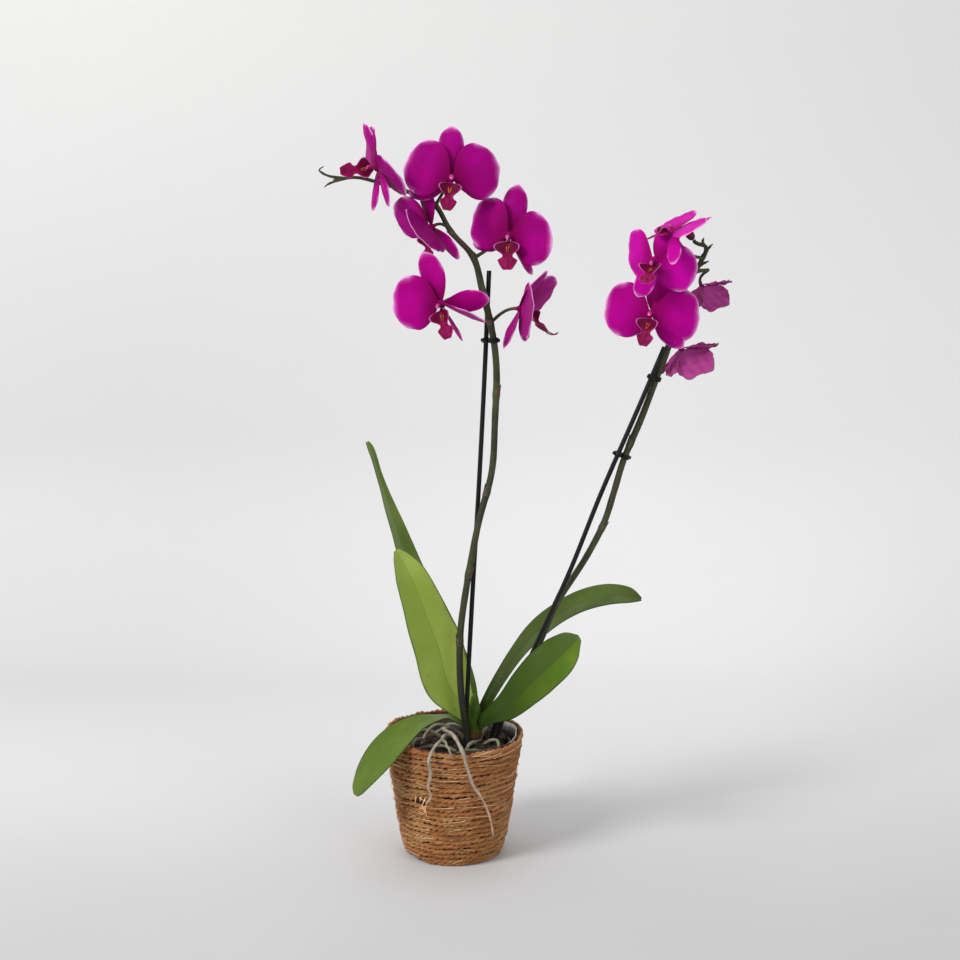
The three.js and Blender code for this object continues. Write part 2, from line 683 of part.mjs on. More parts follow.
// Leaves: [x, y, z, half width] along the midrib from the crown, and the way the upper face looks
const leaves = {
  leaf_tall: {
    rib: [
      [19, 16, 134, 7], [16.5, 20, 158, 9.5], [4.5, 22, 190, 13], [-15.5, 25, 228, 15.5],
      [-35, 30, 263, 16], [-50.5, 35, 300, 15], [-57, 37.5, 320, 12.8], [-64.5, 40, 342, 9.5],
      [-70, 41.5, 360, 6.2], [-75.5, 42.5, 377, 5], [-79.5, 43.5, 391, 5.2], [-83, 44.2, 401, 4.8],
      [-86, 45, 408, 2],
    ],
    faces: [0.8, -0.52, 0.28],
    fold: 0.22,
  },
  leaf_wide: {
    rib: [
      [17, 8, 132, 6], [6, 6.5, 151, 16], [-6.5, 4, 173, 24.5], [-15.5, 2, 209, 25.5], [-24, -1, 233, 23.5],
      [-32, -4, 257, 20], [-43, -7, 285, 15.5], [-52, -9, 303, 7.5], [-55, -10, 309, 3],
    ],
    faces: [0.3, -0.93, 0.2],
    fold: 0.16,
  },
  leaf_drooping: {
    rib: [
      [16, 9, 126, 4], [7, 9, 130, 4.2], [-5, 3, 136, 5.5], [-20, -13, 140, 9], [-38, -29, 138, 15],
      [-54, -42, 128, 19.5], [-69, -52, 113, 20], [-82, -58, 97, 16], [-91, -61, 83, 9],
      [-93.5, -62, 78, 3],
    ],
    faces: [-0.4, -0.5, 0.77],
    fold: 0.14,
  },
  leaf_arching: {
    rib: [
      [26, 13, 132, 6], [34, 18, 148, 7], [48, 26, 171, 8.5], [65, 34, 194, 11], [85, 41, 215, 14.5],
      [106, 46, 230.5, 16], [130, 49, 242.5, 17.5], [156, 50, 249, 17], [178, 50, 249, 12.5],
      [190, 50, 246, 3],
    ],
    faces: [-0.3, -0.42, 0.85],
    fold: 0.2,
  },
  leaf_low: {
    rib: [
      [25, 3, 130, 7], [38, -5, 141, 9.5], [55.5, -14, 154.5, 16.5], [73.5, -22, 175, 21.5],
      [90, -28, 193, 24], [104, -33, 207.5, 23], [116, -36, 221, 15.5], [123, -38, 228, 4],
    ],
    faces: [-0.45, -0.72, 0.52],
    fold: 0.12,
  },
};

const leafSteps = 12;
const foldPower = 1.6;

function makeLeaf({ rib, faces, fold }) {
  const midrib = curveThrough(rib);
  const widths = new THREE.SplineCurve(rib.map((point, i) => new THREE.Vector2(i, point[3])));
  const upper = new THREE.Vector3(...faces).normalize();
  const sheet = blade(leafSteps, 4, leafThickness, (u, v) => {
    const tangent = midrib.getTangent(u);
    const out = upper.clone().projectOnPlane(tangent).normalize();
    const across = out.clone().cross(tangent);
    const half = widths.getPoint(u).y;
    const rise = fold * half * (Math.abs(v) ** foldPower);
    return midrib.getPoint(u).addScaledVector(across, v * half).addScaledVector(out, rise);
  });
  return toManifold(sheet);
}

// An oval ring of points round the plant's upright axis
function crownRing(height, width, depth, lean) {
  return Array.from({ length: crown.sides }, (_, side) => {
    const angle = (side / crown.sides) * Math.PI * 2;
    const x = crown.x + lean + Math.cos(angle) * width;
    return new THREE.Vector3(x, crown.y + Math.sin(angle) * depth, height);
  });
}

// Crown: the stacked sheaths that the leaves spring from, as [height, half width, half depth, lean]
const crownSections = [
  [crown.bottom, 7.2, 6.6, 0],
  [crown.bottom + 9, 8.6, 7.2, 0],
  [crown.bottom + 20, 8.8, 6.8, -0.4],
  [crown.bottom + 32, 7, 5.4, 0.4],
  [crown.top, 4, 2.8, 1.2],
];

function makeCrown(grow) {
  return loft(crownSections.map(([height, width, depth, lean], i) => {
    const end = (i === 0 ? -grow : 0) + (i === crownSections.length - 1 ? grow : 0);
    return crownRing(height + end, width + grow, depth + grow, lean);
  }));
}

// Rootstock: the buried stem with its roots, some over the bark and two hanging over the rim
const roots = [
  {
    radius: 1.7,
    steps: 17,
    path: [
      [16, 12, 103], [6.5, 11, 116], [-4, 2, 126], [-9, -20, 131], [0, -38, 131], [5, -56, 129],
      [9, -70, 126], [12, -75.5, 118], [16, -74, 105], [20, -71.5, 92], [28, -68, 78], [33, -64, 66],
      [37, -60, 54], [39, -57.5, 36],
    ],
  },
  {
    radius: 1.6,
    steps: 12,
    path: [
      [17, 8, 101], [7, 6, 110], [-1, -6, 119], [-7, -26, 128], [-11, -48, 129], [-17, -66, 127.5],
      [-22, -73.5, 119], [-21, -72, 104], [-23, -68, 89], [-21, -66, 78], [-25, -62, 69],
    ],
  },
  {
    radius: 1.7,
    steps: 6,
    path: [[17, 10, 101], [5, 12, 117], [-16, 10, 127], [-28, 6, 118], [-33, 4, 102]],
  },
  {
    radius: 1.6,
    steps: 6,
    path: [[21, 4, 104], [21, -11, 114], [19, -24, 119], [14, -36, 118], [10, -43, 98]],
  },
  {
    radius: 1.6,
    steps: 6,
    path: [[25, 7, 104], [37, -8, 116], [44, -16, 118], [45, -21, 108], [44, -22, 96]],
  },
  {
    radius: 1.7,
    steps: 6,
    path: [[24, 12, 104], [32, 26, 117], [33, 34, 118], [31, 38, 108], [30, 39, 96]],
  },
];

const buriedSections = [[90, 5], [96, 6.8], [103, 7.4], [crown.bottom - gap * 2, 6.8]];
const rootTaper = 0.25;

function rootSolids(grow) {
  const buriedStem = loft(buriedSections.map(([height, radius], i) => {
    const end = i === buriedSections.length - 1 ? grow : 0;
    return crownRing(height + end, radius + grow, radius + grow, 0);
  }));
  const growing = roots.map(({ radius, path, steps }) => stem(
    curveThrough(path), (t) => radius * (1 - rootTaper * t) + grow, 5, steps,
  ));
  return fuse([buriedStem, ...growing]);
}

// Bark: chips heaped over a filling that takes the pot's inside, with plain holes for what stands in it
function potInside(top, clearance) {
  return toManifold(turned([
    [0, potFloor + pot.wall + clearance],
    [potInnerRadius(potFloor + pot.wall) - clearance, potFloor + pot.wall + clearance],
    [potInnerRadius(top) - clearance, top],
    [0, top],
  ], pot.segments));
}

function makeBark() {
  const random = randomSource(bark.seed);
  const level = potTop - bark.depthBelowRim;
  let heap = potInside(level, gap);
  for (let i = 0; i < bark.chips; i += 1) {
    const angle = i * goldenAngle;
    const distance = bark.ringRadius * Math.sqrt((i + 0.5) / bark.chips);
    const length = bark.chipLength * (bark.smallest + bark.variety * random());
    const width = bark.chipWidth * (bark.smallest + bark.variety * random());
    const chip = new THREE.BoxGeometry(length, width, bark.chipHeight);
    chip.rotateX(bark.tumble * (random() - 0.5)).rotateY(bark.tumble * (random() - 0.5));
    chip.rotateZ(random() * Math.PI * 2);
    chip.translate(Math.cos(angle) * distance, Math.sin(angle) * distance, level + bark.lift * random());
    heap = heap.add(toManifold(chip));
  }
  heap = heap.intersect(potInside(level + bark.tallest, gap + bark.clearance));
  const holes = [rootSolids(gap + slack), toManifold(makeCrown(gap))];
  Object.values(stakeCurves).forEach((curve) => holes.push(toManifold(makeStake(curve, gap))));
  Object.values(spikes).forEach((spike) => holes.push(
    toManifold(stem(spike.curve, (t) => spikeRadius(spike, t) + gap, 5, spike.steps)),
  ));
  const pieces = holes.reduce((solid, hole) => solid.subtract(hole), heap).decompose();
  return pieces.reduce((largest, piece) => (piece.volume() > largest.volume() ? piece : largest));
}

function makeStake(curve, grow = 0) {
  return stem(curve, () => stakeRadius + grow, 8, 7);
}

// Clips: two joined rings, one round the stake and one round the spike, with finger ears
const clips = [
  { name: 'clip_left', stake: 'stake_left', spike: 'spike_left', height: 512 },
  { name: 'clip_right_low', stake: 'stake_right', spike: 'spike_right', height: 403 },
  { name: 'clip_right_high', stake: 'stake_right', spike: 'spike_right', height: 478 },
];
const clipBand = { width: 4.5, thickness: 1, clearance: 0.7, web: 2.4 };
const clipEar = { length: 3, thickness: 1.6, width: 3.2, out: 1 };

function shareAtHeight(curve, height) {
  let low = 0;
  let high = 1;
  for (let i = 0; i < 30; i += 1) {
    const middle = (low + high) / 2;
    if (curve.getPointAt(middle).z < height) {
      low = middle;
    } else {
      high = middle;
    }
  }
  return low;
}

function disc(radius, depth, x) {
  return new THREE.CylinderGeometry(radius, radius, depth, 8).rotateX(Math.PI / 2).translate(x, 0, 0);
}

function makeClip(clip) {
  const stakeCurve = stakeCurves[clip.stake];
  const spikeCurve = spikes[clip.spike].curve;
  const stakeShare = shareAtHeight(stakeCurve, clip.height);
  const spikeShare = shareAtHeight(spikeCurve, clip.height);
  const start = stakeCurve.getPointAt(stakeShare);
  const axis = stakeCurve.getTangentAt(stakeShare).add(spikeCurve.getTangentAt(spikeShare)).normalize();
  const toSpike = spikeCurve.getPointAt(spikeShare).sub(start).projectOnPlane(axis);
  const reach = toSpike.length();
  const across = toSpike.clone().normalize();
  const matrix = new THREE.Matrix4().makeBasis(across, axis.clone().cross(across), axis).setPosition(start);
  const stakeRing = stakeRadius + clipBand.clearance;
  const spikeRing = spikeRadius(spikes[clip.spike], spikeShare) + clipBand.clearance;
  const ear = (x) => new THREE.BoxGeometry(clipEar.length, clipEar.thickness, clipEar.width).translate(x, 0, 0);
  const web = new THREE.BoxGeometry(reach, clipBand.web, clipBand.width).translate(reach / 2, 0, 0);
  const rings = fuse([
    web,
    disc(stakeRing + clipBand.thickness, clipBand.width, 0),
    disc(spikeRing + clipBand.thickness, clipBand.width, reach),
    ear(-stakeRing - clipBand.thickness - clipEar.out),
    ear(reach + spikeRing + clipBand.thickness + clipEar.out),
  ]);
  const bores = fuse([disc(stakeRing, clipBand.width * 2, 0), disc(spikeRing, clipBand.width * 2, reach)]);
  return toGeometry(rings.subtract(bores)).applyMatrix4(matrix);
}

// The holder and its filling
addPiece('basket', makeBasket(), finishes.seagrass);
addPiece('basket_liner', makeLiner(), finishes.linerFilm);
addPiece('nursery_pot', makePot(), finishes.potPlastic);
addPiece('bark', toGeometry(makeBark()), finishes.bark);

// The plant
addPiece('rootstock', toGeometry(rootSolids(0)), finishes.root);
const crownSolid = toManifold(makeCrown(0));
addPiece('crown', toGeometry(crownSolid), finishes.crown);
const crownRoom = toManifold(makeCrown(gap));
Object.entries(leaves).forEach(([name, leaf]) => {
  addPiece(name, toGeometry(makeLeaf(leaf).subtract(crownRoom)), finishes.leaf);
});
addPiece('spike_left', toGeometry(makeSpike('spike_left', leftEnds)), finishes.stem);
addPiece('spike_right', toGeometry(makeSpike('spike_right', rightEnds)), finishes.stem);
blooms.forEach(addBloom);
addPiece('bud', makeBud(), finishes.petal);

// What holds the spikes up
Object.entries(stakeCurves).forEach(([name, curve]) => {
  addPiece(name, closeSolid(makeStake(curve)), finishes.blackPlastic);
});
clips.forEach((clip) => addPiece(clip.name, makeClip(clip), finishes.blackPlastic));

export default object;
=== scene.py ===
# Potted moth orchid: a lined seagrass basket, bark, roots, leaves, two staked flower spikes and their blooms.
# Sizes are in millimetres in the dictionaries, and become metres when a mesh is made. -Y is the front.
import math
import random

import bmesh
import bpy
import numpy as np
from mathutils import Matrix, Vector


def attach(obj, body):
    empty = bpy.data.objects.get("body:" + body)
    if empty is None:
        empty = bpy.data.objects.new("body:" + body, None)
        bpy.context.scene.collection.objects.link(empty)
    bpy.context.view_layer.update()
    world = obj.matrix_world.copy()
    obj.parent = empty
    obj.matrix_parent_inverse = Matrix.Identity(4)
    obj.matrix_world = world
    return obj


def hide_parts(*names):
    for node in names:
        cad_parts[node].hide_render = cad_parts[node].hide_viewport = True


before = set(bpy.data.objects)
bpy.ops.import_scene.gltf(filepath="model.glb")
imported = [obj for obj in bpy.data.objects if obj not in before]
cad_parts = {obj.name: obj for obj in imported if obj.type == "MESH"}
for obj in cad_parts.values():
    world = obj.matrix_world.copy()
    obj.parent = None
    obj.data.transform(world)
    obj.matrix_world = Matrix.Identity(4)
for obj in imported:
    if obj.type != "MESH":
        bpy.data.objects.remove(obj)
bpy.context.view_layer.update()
metre = 0.001

# The camera stands where the picture was taken from
view = {"place": (26.5, -1682, 646), "pitchDown": 9.1, "lens": 65.6, "sensor": 36}


def addCamera():
    data = bpy.data.cameras.new("view")
    data.lens = view["lens"]
    data.sensor_width = view["sensor"]
    data.clip_end = 20
    camera = bpy.data.objects.new("view", data)
    camera.location = Vector(view["place"]) * metre
    camera.rotation_euler = (math.radians(90 - view["pitchDown"]), 0, 0)
    bpy.context.collection.objects.link(camera)
    bpy.context.scene.camera = camera


addCamera()
print("camera placed")


# Curves
def curveAt(points, share, even=True):
    # A smooth curve through points, each stretch timed by its own length when even is true
    last = len(points) - 1
    place = share * last
    index = min(int(place), last - 1)
    t = place - index
    p1, p2 = points[index], points[index + 1]
    p0 = points[index - 1] if index > 0 else 2 * p1 - p2
    p3 = points[index + 2] if index + 2 <= last else 2 * p2 - p1
    if even:
        d0, d1, d2 = (max(float(((b - a) ** 2).sum()) ** 0.25, 1e-4) for a, b in ((p0, p1), (p1, p2), (p2, p3)))
    else:
        d0 = d1 = d2 = 1
    m1 = ((p1 - p0) / d0 - (p2 - p0) / (d0 + d1) + (p2 - p1) / d1) * d1
    m2 = ((p2 - p1) / d1 - (p3 - p1) / (d1 + d2) + (p3 - p2) / d2) * d1
    return p1 + m1 * t + (3 * (p2 - p1) - 2 * m1 - m2) * t * t + (2 * (p1 - p2) + m1 + m2) * t ** 3


def curvePath(points, count, even=True):
    points = np.array(points, float)
    return np.array([curveAt(points, i / (count - 1), even) for i in range(count)])


def lengthsAlong(path):
    return np.concatenate([[0], np.cumsum(np.linalg.norm(np.diff(path, axis=0), axis=1))])


def spacedPath(points, count):
    # The same curve with its points an equal length apart
    fine = curvePath(points, 400)
    length = lengthsAlong(fine)
    wanted = np.linspace(0, length[-1], count)
    return np.stack([np.interp(wanted, length, fine[:, k]) for k in range(3)], axis=1)


def unit(vectors):
    return vectors / np.maximum(np.linalg.norm(vectors, axis=-1, keepdims=True), 1e-9)


def crossFrames(path):
    # Two directions square to the path at each point, carried along it without twist
    tangents = unit(np.gradient(path, axis=0))
    start = np.array([0.0, 0, 1]) if abs(tangents[0][2]) < 0.9 else np.array([1.0, 0, 0])
    normal = unit(np.cross(tangents[0], start))
    normals = []
    for tangent in tangents:
        normal = unit(normal - tangent * (normal @ tangent))
        normals.append(normal)
    normals = np.array(normals)
    return tangents, normals, np.cross(tangents, normals)


def wander(draw, count, knots, size):
    # Smooth uneven values from -size to size
    rough = np.array([draw.uniform(-size, size) for _ in range(knots + 2)])
    place = np.linspace(0, knots, count)
    low = place.astype(int)
    t = place - low
    t = t * t * (3 - 2 * t)
    return rough[low] * (1 - t) + rough[np.minimum(low + 1, knots + 1)] * t


def circle(sides):
    return np.arange(sides) / sides * 2 * math.pi


def angleFrom(angle, middle):
    return (angle - middle + math.pi) % (2 * math.pi) - math.pi


def hill(distance, width):
    # One at the middle, falling smoothly to none
    return np.exp(-((distance / width) ** 2))


def ringAt(x, y, height):
    return np.stack([x, y, x * 0 + height], axis=1)


# Meshes: a part has its points and faces, its two marks for the materials and the paint that it takes
def gridFaces(rows, columns, wrapped=False):
    row = np.arange(rows - 1)[:, None]
    column = np.arange(columns if wrapped else columns - 1)[None, :]
    a = row * columns + column
    b = row * columns + (column + 1) % columns
    return np.stack([a, a + columns, b + columns, b], axis=-1).reshape(-1, 4)


def ringsPart(rings, lengths, paintIndex=0, rim=0.0):
    # A closed skin through rings of points, with a flat cap at each end
    count, sides = rings.shape[:2]
    faces = gridFaces(count, sides, True).tolist()
    faces += [list(range(sides)), [(count - 1) * sides + side for side in range(sides)][::-1]]
    turn = circle(sides)
    grow = np.zeros((count, sides, 3))
    grow[:, :, 0] = np.asarray(lengths)[:, None]
    grow[:, :, 1] = np.cos(turn)
    grow[:, :, 2] = np.sin(turn)
    rims = np.zeros((count, sides)) + np.asarray(rim).reshape(-1, 1)
    return {"points": rings.reshape(-1, 3), "faces": faces, "grow": grow.reshape(-1, 3),
            "rim": rims.reshape(-1), "paint": paintIndex}


# How far out and how wide the rings of a rounded end are, in shares of its radius
roundTips = [(0.55, 0.86), (0.9, 0.45), (1.0, 0.12)]


def tubePart(path, radii, sides=10, paintIndex=0, rim=0.0, flutes=0, fluteDepth=0.0, rounded=False):
    path = np.asarray(path, float)
    radii = np.zeros(len(path)) + radii
    if rounded:
        ahead = unit(path[-1] - path[-2])
        behind = unit(path[0] - path[1])
        path = np.concatenate([
            [path[0] + behind * radii[0] * out for out, _ in roundTips[::-1]], path,
            [path[-1] + ahead * radii[-1] * out for out, _ in roundTips],
        ])
        keeps = np.array([keep for _, keep in roundTips])
        radii = np.concatenate([radii[0] * keeps[::-1], radii, radii[-1] * keeps])
    _, normals, sideways = crossFrames(path)
    turn = circle(sides)
    reach = (1 + fluteDepth * np.cos(flutes * turn)) * radii[:, None]
    rings = (path[:, None, :] + normals[:, None, :] * (np.cos(turn) * reach)[:, :, None]
             + sideways[:, None, :] * (np.sin(turn) * reach)[:, :, None])
    return ringsPart(rings, lengthsAlong(path), paintIndex, rim)


def ballRings(rows, columns, opening):
    polar = np.linspace(opening, math.pi - opening, rows)[:, None]
    turn = circle(columns)
    return np.stack([np.sin(polar) * np.cos(turn), np.sin(polar) * np.sin(turn), np.cos(polar) + turn * 0], axis=2)


def turnedPart(profile, segments, paintIndex=0):
    # A profile of radius and height turned round Z, closed where it meets the axis
    turn = circle(segments)
    rings = [ringAt(np.cos(turn) * radius, np.sin(turn) * radius, height) for radius, height in profile]
    return ringsPart(np.array(rings), [height for _, height in profile], paintIndex)


def sheetGrid(rows, columns):
    return (grid.ravel() for grid in np.meshgrid(np.linspace(0, 1, rows), np.linspace(-1, 1, columns), indexing="ij"))


def sheetPart(points, rows, columns, thickness, rim, along, across, paintIndex=0):
    # A thin closed sheet round a middle surface given as a grid of points
    quads = gridFaces(rows, columns)
    normals = np.zeros_like(points)
    square = np.cross(points[quads[:, 2]] - points[quads[:, 0]], points[quads[:, 3]] - points[quads[:, 1]])
    for corner in range(4):
        np.add.at(normals, quads[:, corner], square)
    half = unit(normals) * (thickness / 2)[:, None]
    count = len(points)
    index = np.arange(count).reshape(rows, columns)
    loop = np.concatenate([index[0], index[1:, -1], index[-1, ::-1][1:], index[::-1, 0][1:-1]])
    after = np.roll(loop, -1)
    faces = np.concatenate([
        quads, quads[:, ::-1] + count, np.stack([loop, after, after + count, loop + count], axis=1),
    ])
    side = np.ones(count)
    grow = np.stack([np.tile(along, 2), np.tile(across, 2), np.concatenate([side, side * 0])], axis=1)
    return {"points": np.concatenate([points + half, points - half]), "faces": faces.tolist(),
            "grow": grow, "rim": np.tile(rim, 2), "paint": paintIndex}


def turnPoints(points, axis, degrees):
    angle = math.radians(degrees)
    c, s = math.cos(angle), math.sin(angle)
    a, b = [(1, 2), (2, 0), (0, 1)][axis]
    turned = points.copy()
    turned[:, a] = points[:, a] * c - points[:, b] * s
    turned[:, b] = points[:, a] * s + points[:, b] * c
    return turned


def makePiece(name, parts, paints, node):
    # One mesh object from several parts, riding on the frame and standing for a CAD node
    faces, paintNumbers, start = [], [], 0
    for part in parts:
        faces += [[corner + start for corner in face] for face in part["faces"]]
        paintNumbers += [part["paint"]] * len(part["faces"])
        start += len(part["points"])
    mesh = bpy.data.meshes.new(name)
    mesh.from_pydata((np.concatenate([part["points"] for part in parts]) * metre).tolist(), [], faces)
    for material in paints:
        mesh.materials.append(material)
    mesh.polygons.foreach_set("material_index", paintNumbers)
    mesh.polygons.foreach_set("use_smooth", [True] * len(faces))
    for mark, kind, field in (("grow", "FLOAT_VECTOR", "vector"), ("rim", "FLOAT", "value")):
        values = np.concatenate([part[mark] for part in parts]).ravel()
        mesh.attributes.new(mark, kind, "POINT").data.foreach_set(field, values)
    shell = bmesh.new()
    shell.from_mesh(mesh)
    bmesh.ops.recalc_face_normals(shell, faces=shell.faces)
    shell.to_mesh(mesh)
    shell.free()
    piece = bpy.data.objects.new(name, mesh)
    bpy.context.collection.objects.link(piece)
    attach(piece, "root")
    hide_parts(node)
    return piece


# Shader building: grow tells how far along, across and through a part a point lies, rim how near its margin
def tone(shade):
    values = [value / 255 for value in shade]
    return (*(v / 12.92 if v <= 0.04045 else ((v + 0.055) / 1.055) ** 2.4 for v in values), 1)


def addNode(tree, kind, inputs=None, **settings):
    node = tree.nodes.new(kind)
    for name, value in settings.items():
        setattr(node, name, value)
    for name, value in (inputs or {}).items():
        if isinstance(value, bpy.types.NodeSocket):
            tree.links.new(value, node.inputs[name])
        else:
            node.inputs[name].default_value = value
    return node


def maths(tree, operation, *values):
    return addNode(tree, "ShaderNodeMath", dict(enumerate(values)), operation=operation).outputs[0]


def spread(tree, value, low, high, to=(0, 1)):
    inputs = {"Value": value, "From Min": low, "From Max": high, "To Min": to[0], "To Max": to[1]}
    return addNode(tree, "ShaderNodeMapRange", inputs, interpolation_type="SMOOTHSTEP").outputs[0]


def readMark(tree, name):
    return addNode(tree, "ShaderNodeAttribute", attribute_name=name).outputs["Fac" if name == "rim" else "Vector"]


def placeOf(tree):
    return addNode(tree, "ShaderNodeTexCoord").outputs["Object"]


def axesOf(tree, vector):
    return addNode(tree, "ShaderNodeSeparateXYZ", {0: vector}).outputs


def noise(tree, vector, scale, detail, roughness=0.5):
    inputs = {"Vector": vector, "Scale": scale, "Detail": detail, "Roughness": roughness}
    return addNode(tree, "ShaderNodeTexNoise", inputs).outputs[0]


def drift(tree, value, size):
    return maths(tree, "MULTIPLY", maths(tree, "SUBTRACT", value, 0.5), size)


def mottle(tree, given):
    # Soft cloudy patches over a surface
    cloud = noise(tree, placeOf(tree), given["Scale"], given["Detail"], 0.6)
    return spread(tree, cloud, given["Low"], given["High"])


def veins(tree, given):
    # Fine lines that run from the base of a petal or leaf to its end
    grow = readMark(tree, "grow")
    across = maths(tree, "MULTIPLY", axesOf(tree, grow)["Y"], given["Count"])
    line = maths(tree, "ADD", across, drift(tree, noise(tree, grow, 5, 2), given["Wander"]))
    return maths(tree, "POWER", maths(tree, "MULTIPLY", maths(tree, "PINGPONG", line, 0.5), 2), given["Sharpness"])


def rimBand(tree, given):
    # A band along the margin, uneven in width
    uneven = drift(tree, noise(tree, placeOf(tree), given["Scale"], 2), given["Uneven"])
    edge = maths(tree, "ADD", readMark(tree, "rim"), uneven)
    return spread(tree, edge, given["Start"], given["End"])


def fibres(tree, given):
    # Long fibres that run along a rope, root or stem
    grow = axesOf(tree, readMark(tree, "grow"))
    along = maths(tree, "MULTIPLY", grow["X"], given["Stretch"])
    stretched = addNode(tree, "ShaderNodeCombineXYZ", {"X": along, "Y": grow["Y"], "Z": grow["Z"]}).outputs[0]
    return spread(tree, noise(tree, stretched, given["Fineness"], 4), given["Low"], given["High"])


def specks(tree, given):
    # Small round dots scattered over a surface
    cells = addNode(tree, "ShaderNodeTexVoronoi", {"Vector": placeOf(tree), "Scale": given["Scale"]})
    return spread(tree, cells.outputs["Distance"], given["Size"], maths(tree, "MULTIPLY", given["Size"], 0.6))


def newGroup(name, fill, inputs):
    tree = bpy.data.node_groups.new(name, "ShaderNodeTree")
    for label, value in inputs.items():
        socket = tree.interface.new_socket(name=label, in_out="INPUT", socket_type="NodeSocketFloat")
        socket.default_value = value
    tree.interface.new_socket(name="Mask", in_out="OUTPUT", socket_type="NodeSocketFloat")
    mask = fill(tree, tree.nodes.new("NodeGroupInput").outputs)
    tree.links.new(mask, tree.nodes.new("NodeGroupOutput").inputs["Mask"])
    return tree


groups = {
    "mottle": newGroup("mottle", mottle, {"Scale": 60, "Detail": 3, "Low": 0.35, "High": 0.65}),
    "veins": newGroup("veins", veins, {"Count": 9, "Wander": 0.5, "Sharpness": 4}),
    "rimBand": newGroup("rimBand", rimBand, {"Start": 0.85, "End": 1, "Uneven": 0.1, "Scale": 90}),
    "fibres": newGroup("fibres", fibres, {"Fineness": 5, "Stretch": 0.06, "Low": 0.3, "High": 0.7}),
    "specks": newGroup("specks", specks, {"Scale": 400, "Size": 0.25}),
}
markAxes = {"along": "X", "across": "Y", "middle": "Y", "face": "Z"}


def readMask(tree, kind, *values):
    # A group with its values in order, or a mark or a place in metres spread between two values
    if isinstance(kind, tuple):
        return maths(tree, "MULTIPLY", readMask(tree, *kind), readMask(tree, *values[0]))
    if kind in groups:
        node = addNode(tree, "ShaderNodeGroup", node_tree=groups[kind])
        for socket, value in zip(node.inputs, values):
            socket.default_value = value
        return node.outputs["Mask"]
    if kind == "rim":
        source = readMark(tree, "rim")
    elif kind in markAxes:
        source = axesOf(tree, readMark(tree, "grow"))[markAxes[kind]]
    else:
        source = axesOf(tree, placeOf(tree))[kind]
    if kind == "middle":
        source = maths(tree, "ABSOLUTE", source)
    return spread(tree, source, *values) if values else source


def layered(tree, masks, shade):
    # A plain colour, or a list of one and what is laid over it, each with its mask and strength
    if isinstance(shade, tuple):
        return tone(shade)
    colour = layered(tree, masks, shade[0])
    for mask, strength, over in shade[1:]:
        factor = maths(tree, "MULTIPLY", masks[mask], strength)
        inputs = {0: factor, 6: colour, 7: layered(tree, masks, over)}
        colour = addNode(tree, "ShaderNodeMix", inputs, data_type="RGBA").outputs[2]
    return colour


def newMaterial(name, finish):
    material = bpy.data.materials.new(name)
    material.use_nodes = True
    tree = material.node_tree
    sockets = tree.nodes["Principled BSDF"].inputs
    for label, value in finish.get("shine", {}).items():
        sockets[label].default_value = value
    masks = {label: readMask(tree, *recipe) for label, recipe in finish["masks"].items()}
    tree.links.new(layered(tree, masks, finish["colour"]), sockets["Base Color"])
    roughMask, smooth, rough = finish["roughness"]
    tree.links.new(spread(tree, masks[roughMask], 0, 1, (smooth, rough)), sockets["Roughness"])
    if "relief" in finish:
        weights, strength, depth = finish["relief"]
        heights = [maths(tree, "MULTIPLY", masks[label], weight) for label, weight in weights.items()]
        height = maths(tree, "ADD", *heights) if len(heights) > 1 else heights[0]
        bump = addNode(tree, "ShaderNodeBump", {"Height": height, "Strength": strength, "Distance": depth * metre})
        tree.links.new(bump.outputs[0], sockets["Normal"])
    return material


def gleam(specular):
    return {"Specular IOR Level": specular}


# Petals
def petalFinish(look):
    front = [look["field"], ("cloud", 0.7, look["deep"]), ("heart", 0.8, look["heart"]),
             ("veins", look["veinStrength"], look["vein"])]
    back = [look["back"], ("veins", 0.5, look["deep"]), ("cloud", 0.35, look["field"])]
    return {
        "masks": {
            "cloud": ("mottle", look["cloud"], 2), "veins": ("veins", 9, 1.1, 5), "fine": ("mottle", 1400, 1),
            "heart": ("along", look["heartReach"], 0.05), "face": ("face",),
            "glow": ("rimBand", 0.72, 1.05, 0.2), "band": ("rimBand", look["rimStart"], 1, 0.09),
        },
        "colour": [back, ("face", 1, front), ("glow", look["rimStrength"] * 0.3, look["rim"]),
                   ("band", look["rimStrength"], look["rim"])],
        "roughness": ("cloud", 0.5, 0.62), "relief": ({"veins": -0.6, "fine": 0.25}, 0.25, 0.2), "shine": gleam(0.05),
    }


petalLooks = {
    "left": {
        "field": (164, 2, 128), "deep": (140, 0, 104), "heart": (112, 0, 62), "vein": (108, 0, 72),
        "back": (146, 18, 110), "rim": (240, 158, 226), "cloud": 26, "heartReach": 0.55,
        "veinStrength": 0.2, "rimStart": 0.88, "rimStrength": 1,
    },
    "right": {
        "field": (182, 0, 144), "deep": (160, 0, 120), "heart": (134, 0, 82), "vein": (128, 0, 90),
        "back": (168, 30, 132), "rim": (246, 172, 230), "cloud": 24, "heartReach": 0.5,
        "veinStrength": 0.18, "rimStart": 0.88, "rimStrength": 1,
    },
    "wilted": {
        "field": (172, 52, 136), "deep": (128, 18, 88), "heart": (118, 0, 66), "vein": (98, 6, 66),
        "back": (176, 72, 144), "rim": (132, 104, 112), "cloud": 60, "heartReach": 0.4,
        "veinStrength": 0.7, "rimStart": 0.86, "rimStrength": 0.6,
    },
}
# The blooms that catch more of the light are a tone paler than their neighbours
petalLooks["leftPale"] = {**petalLooks["left"], "field": (182, 0, 140), "deep": (156, 0, 114)}
petalLooks["rightPale"] = {**petalLooks["right"], "field": (202, 2, 166), "deep": (180, 0, 140)}
petalPaint = {name: newMaterial(name + "Petal", petalFinish(look)) for name, look in petalLooks.items()}


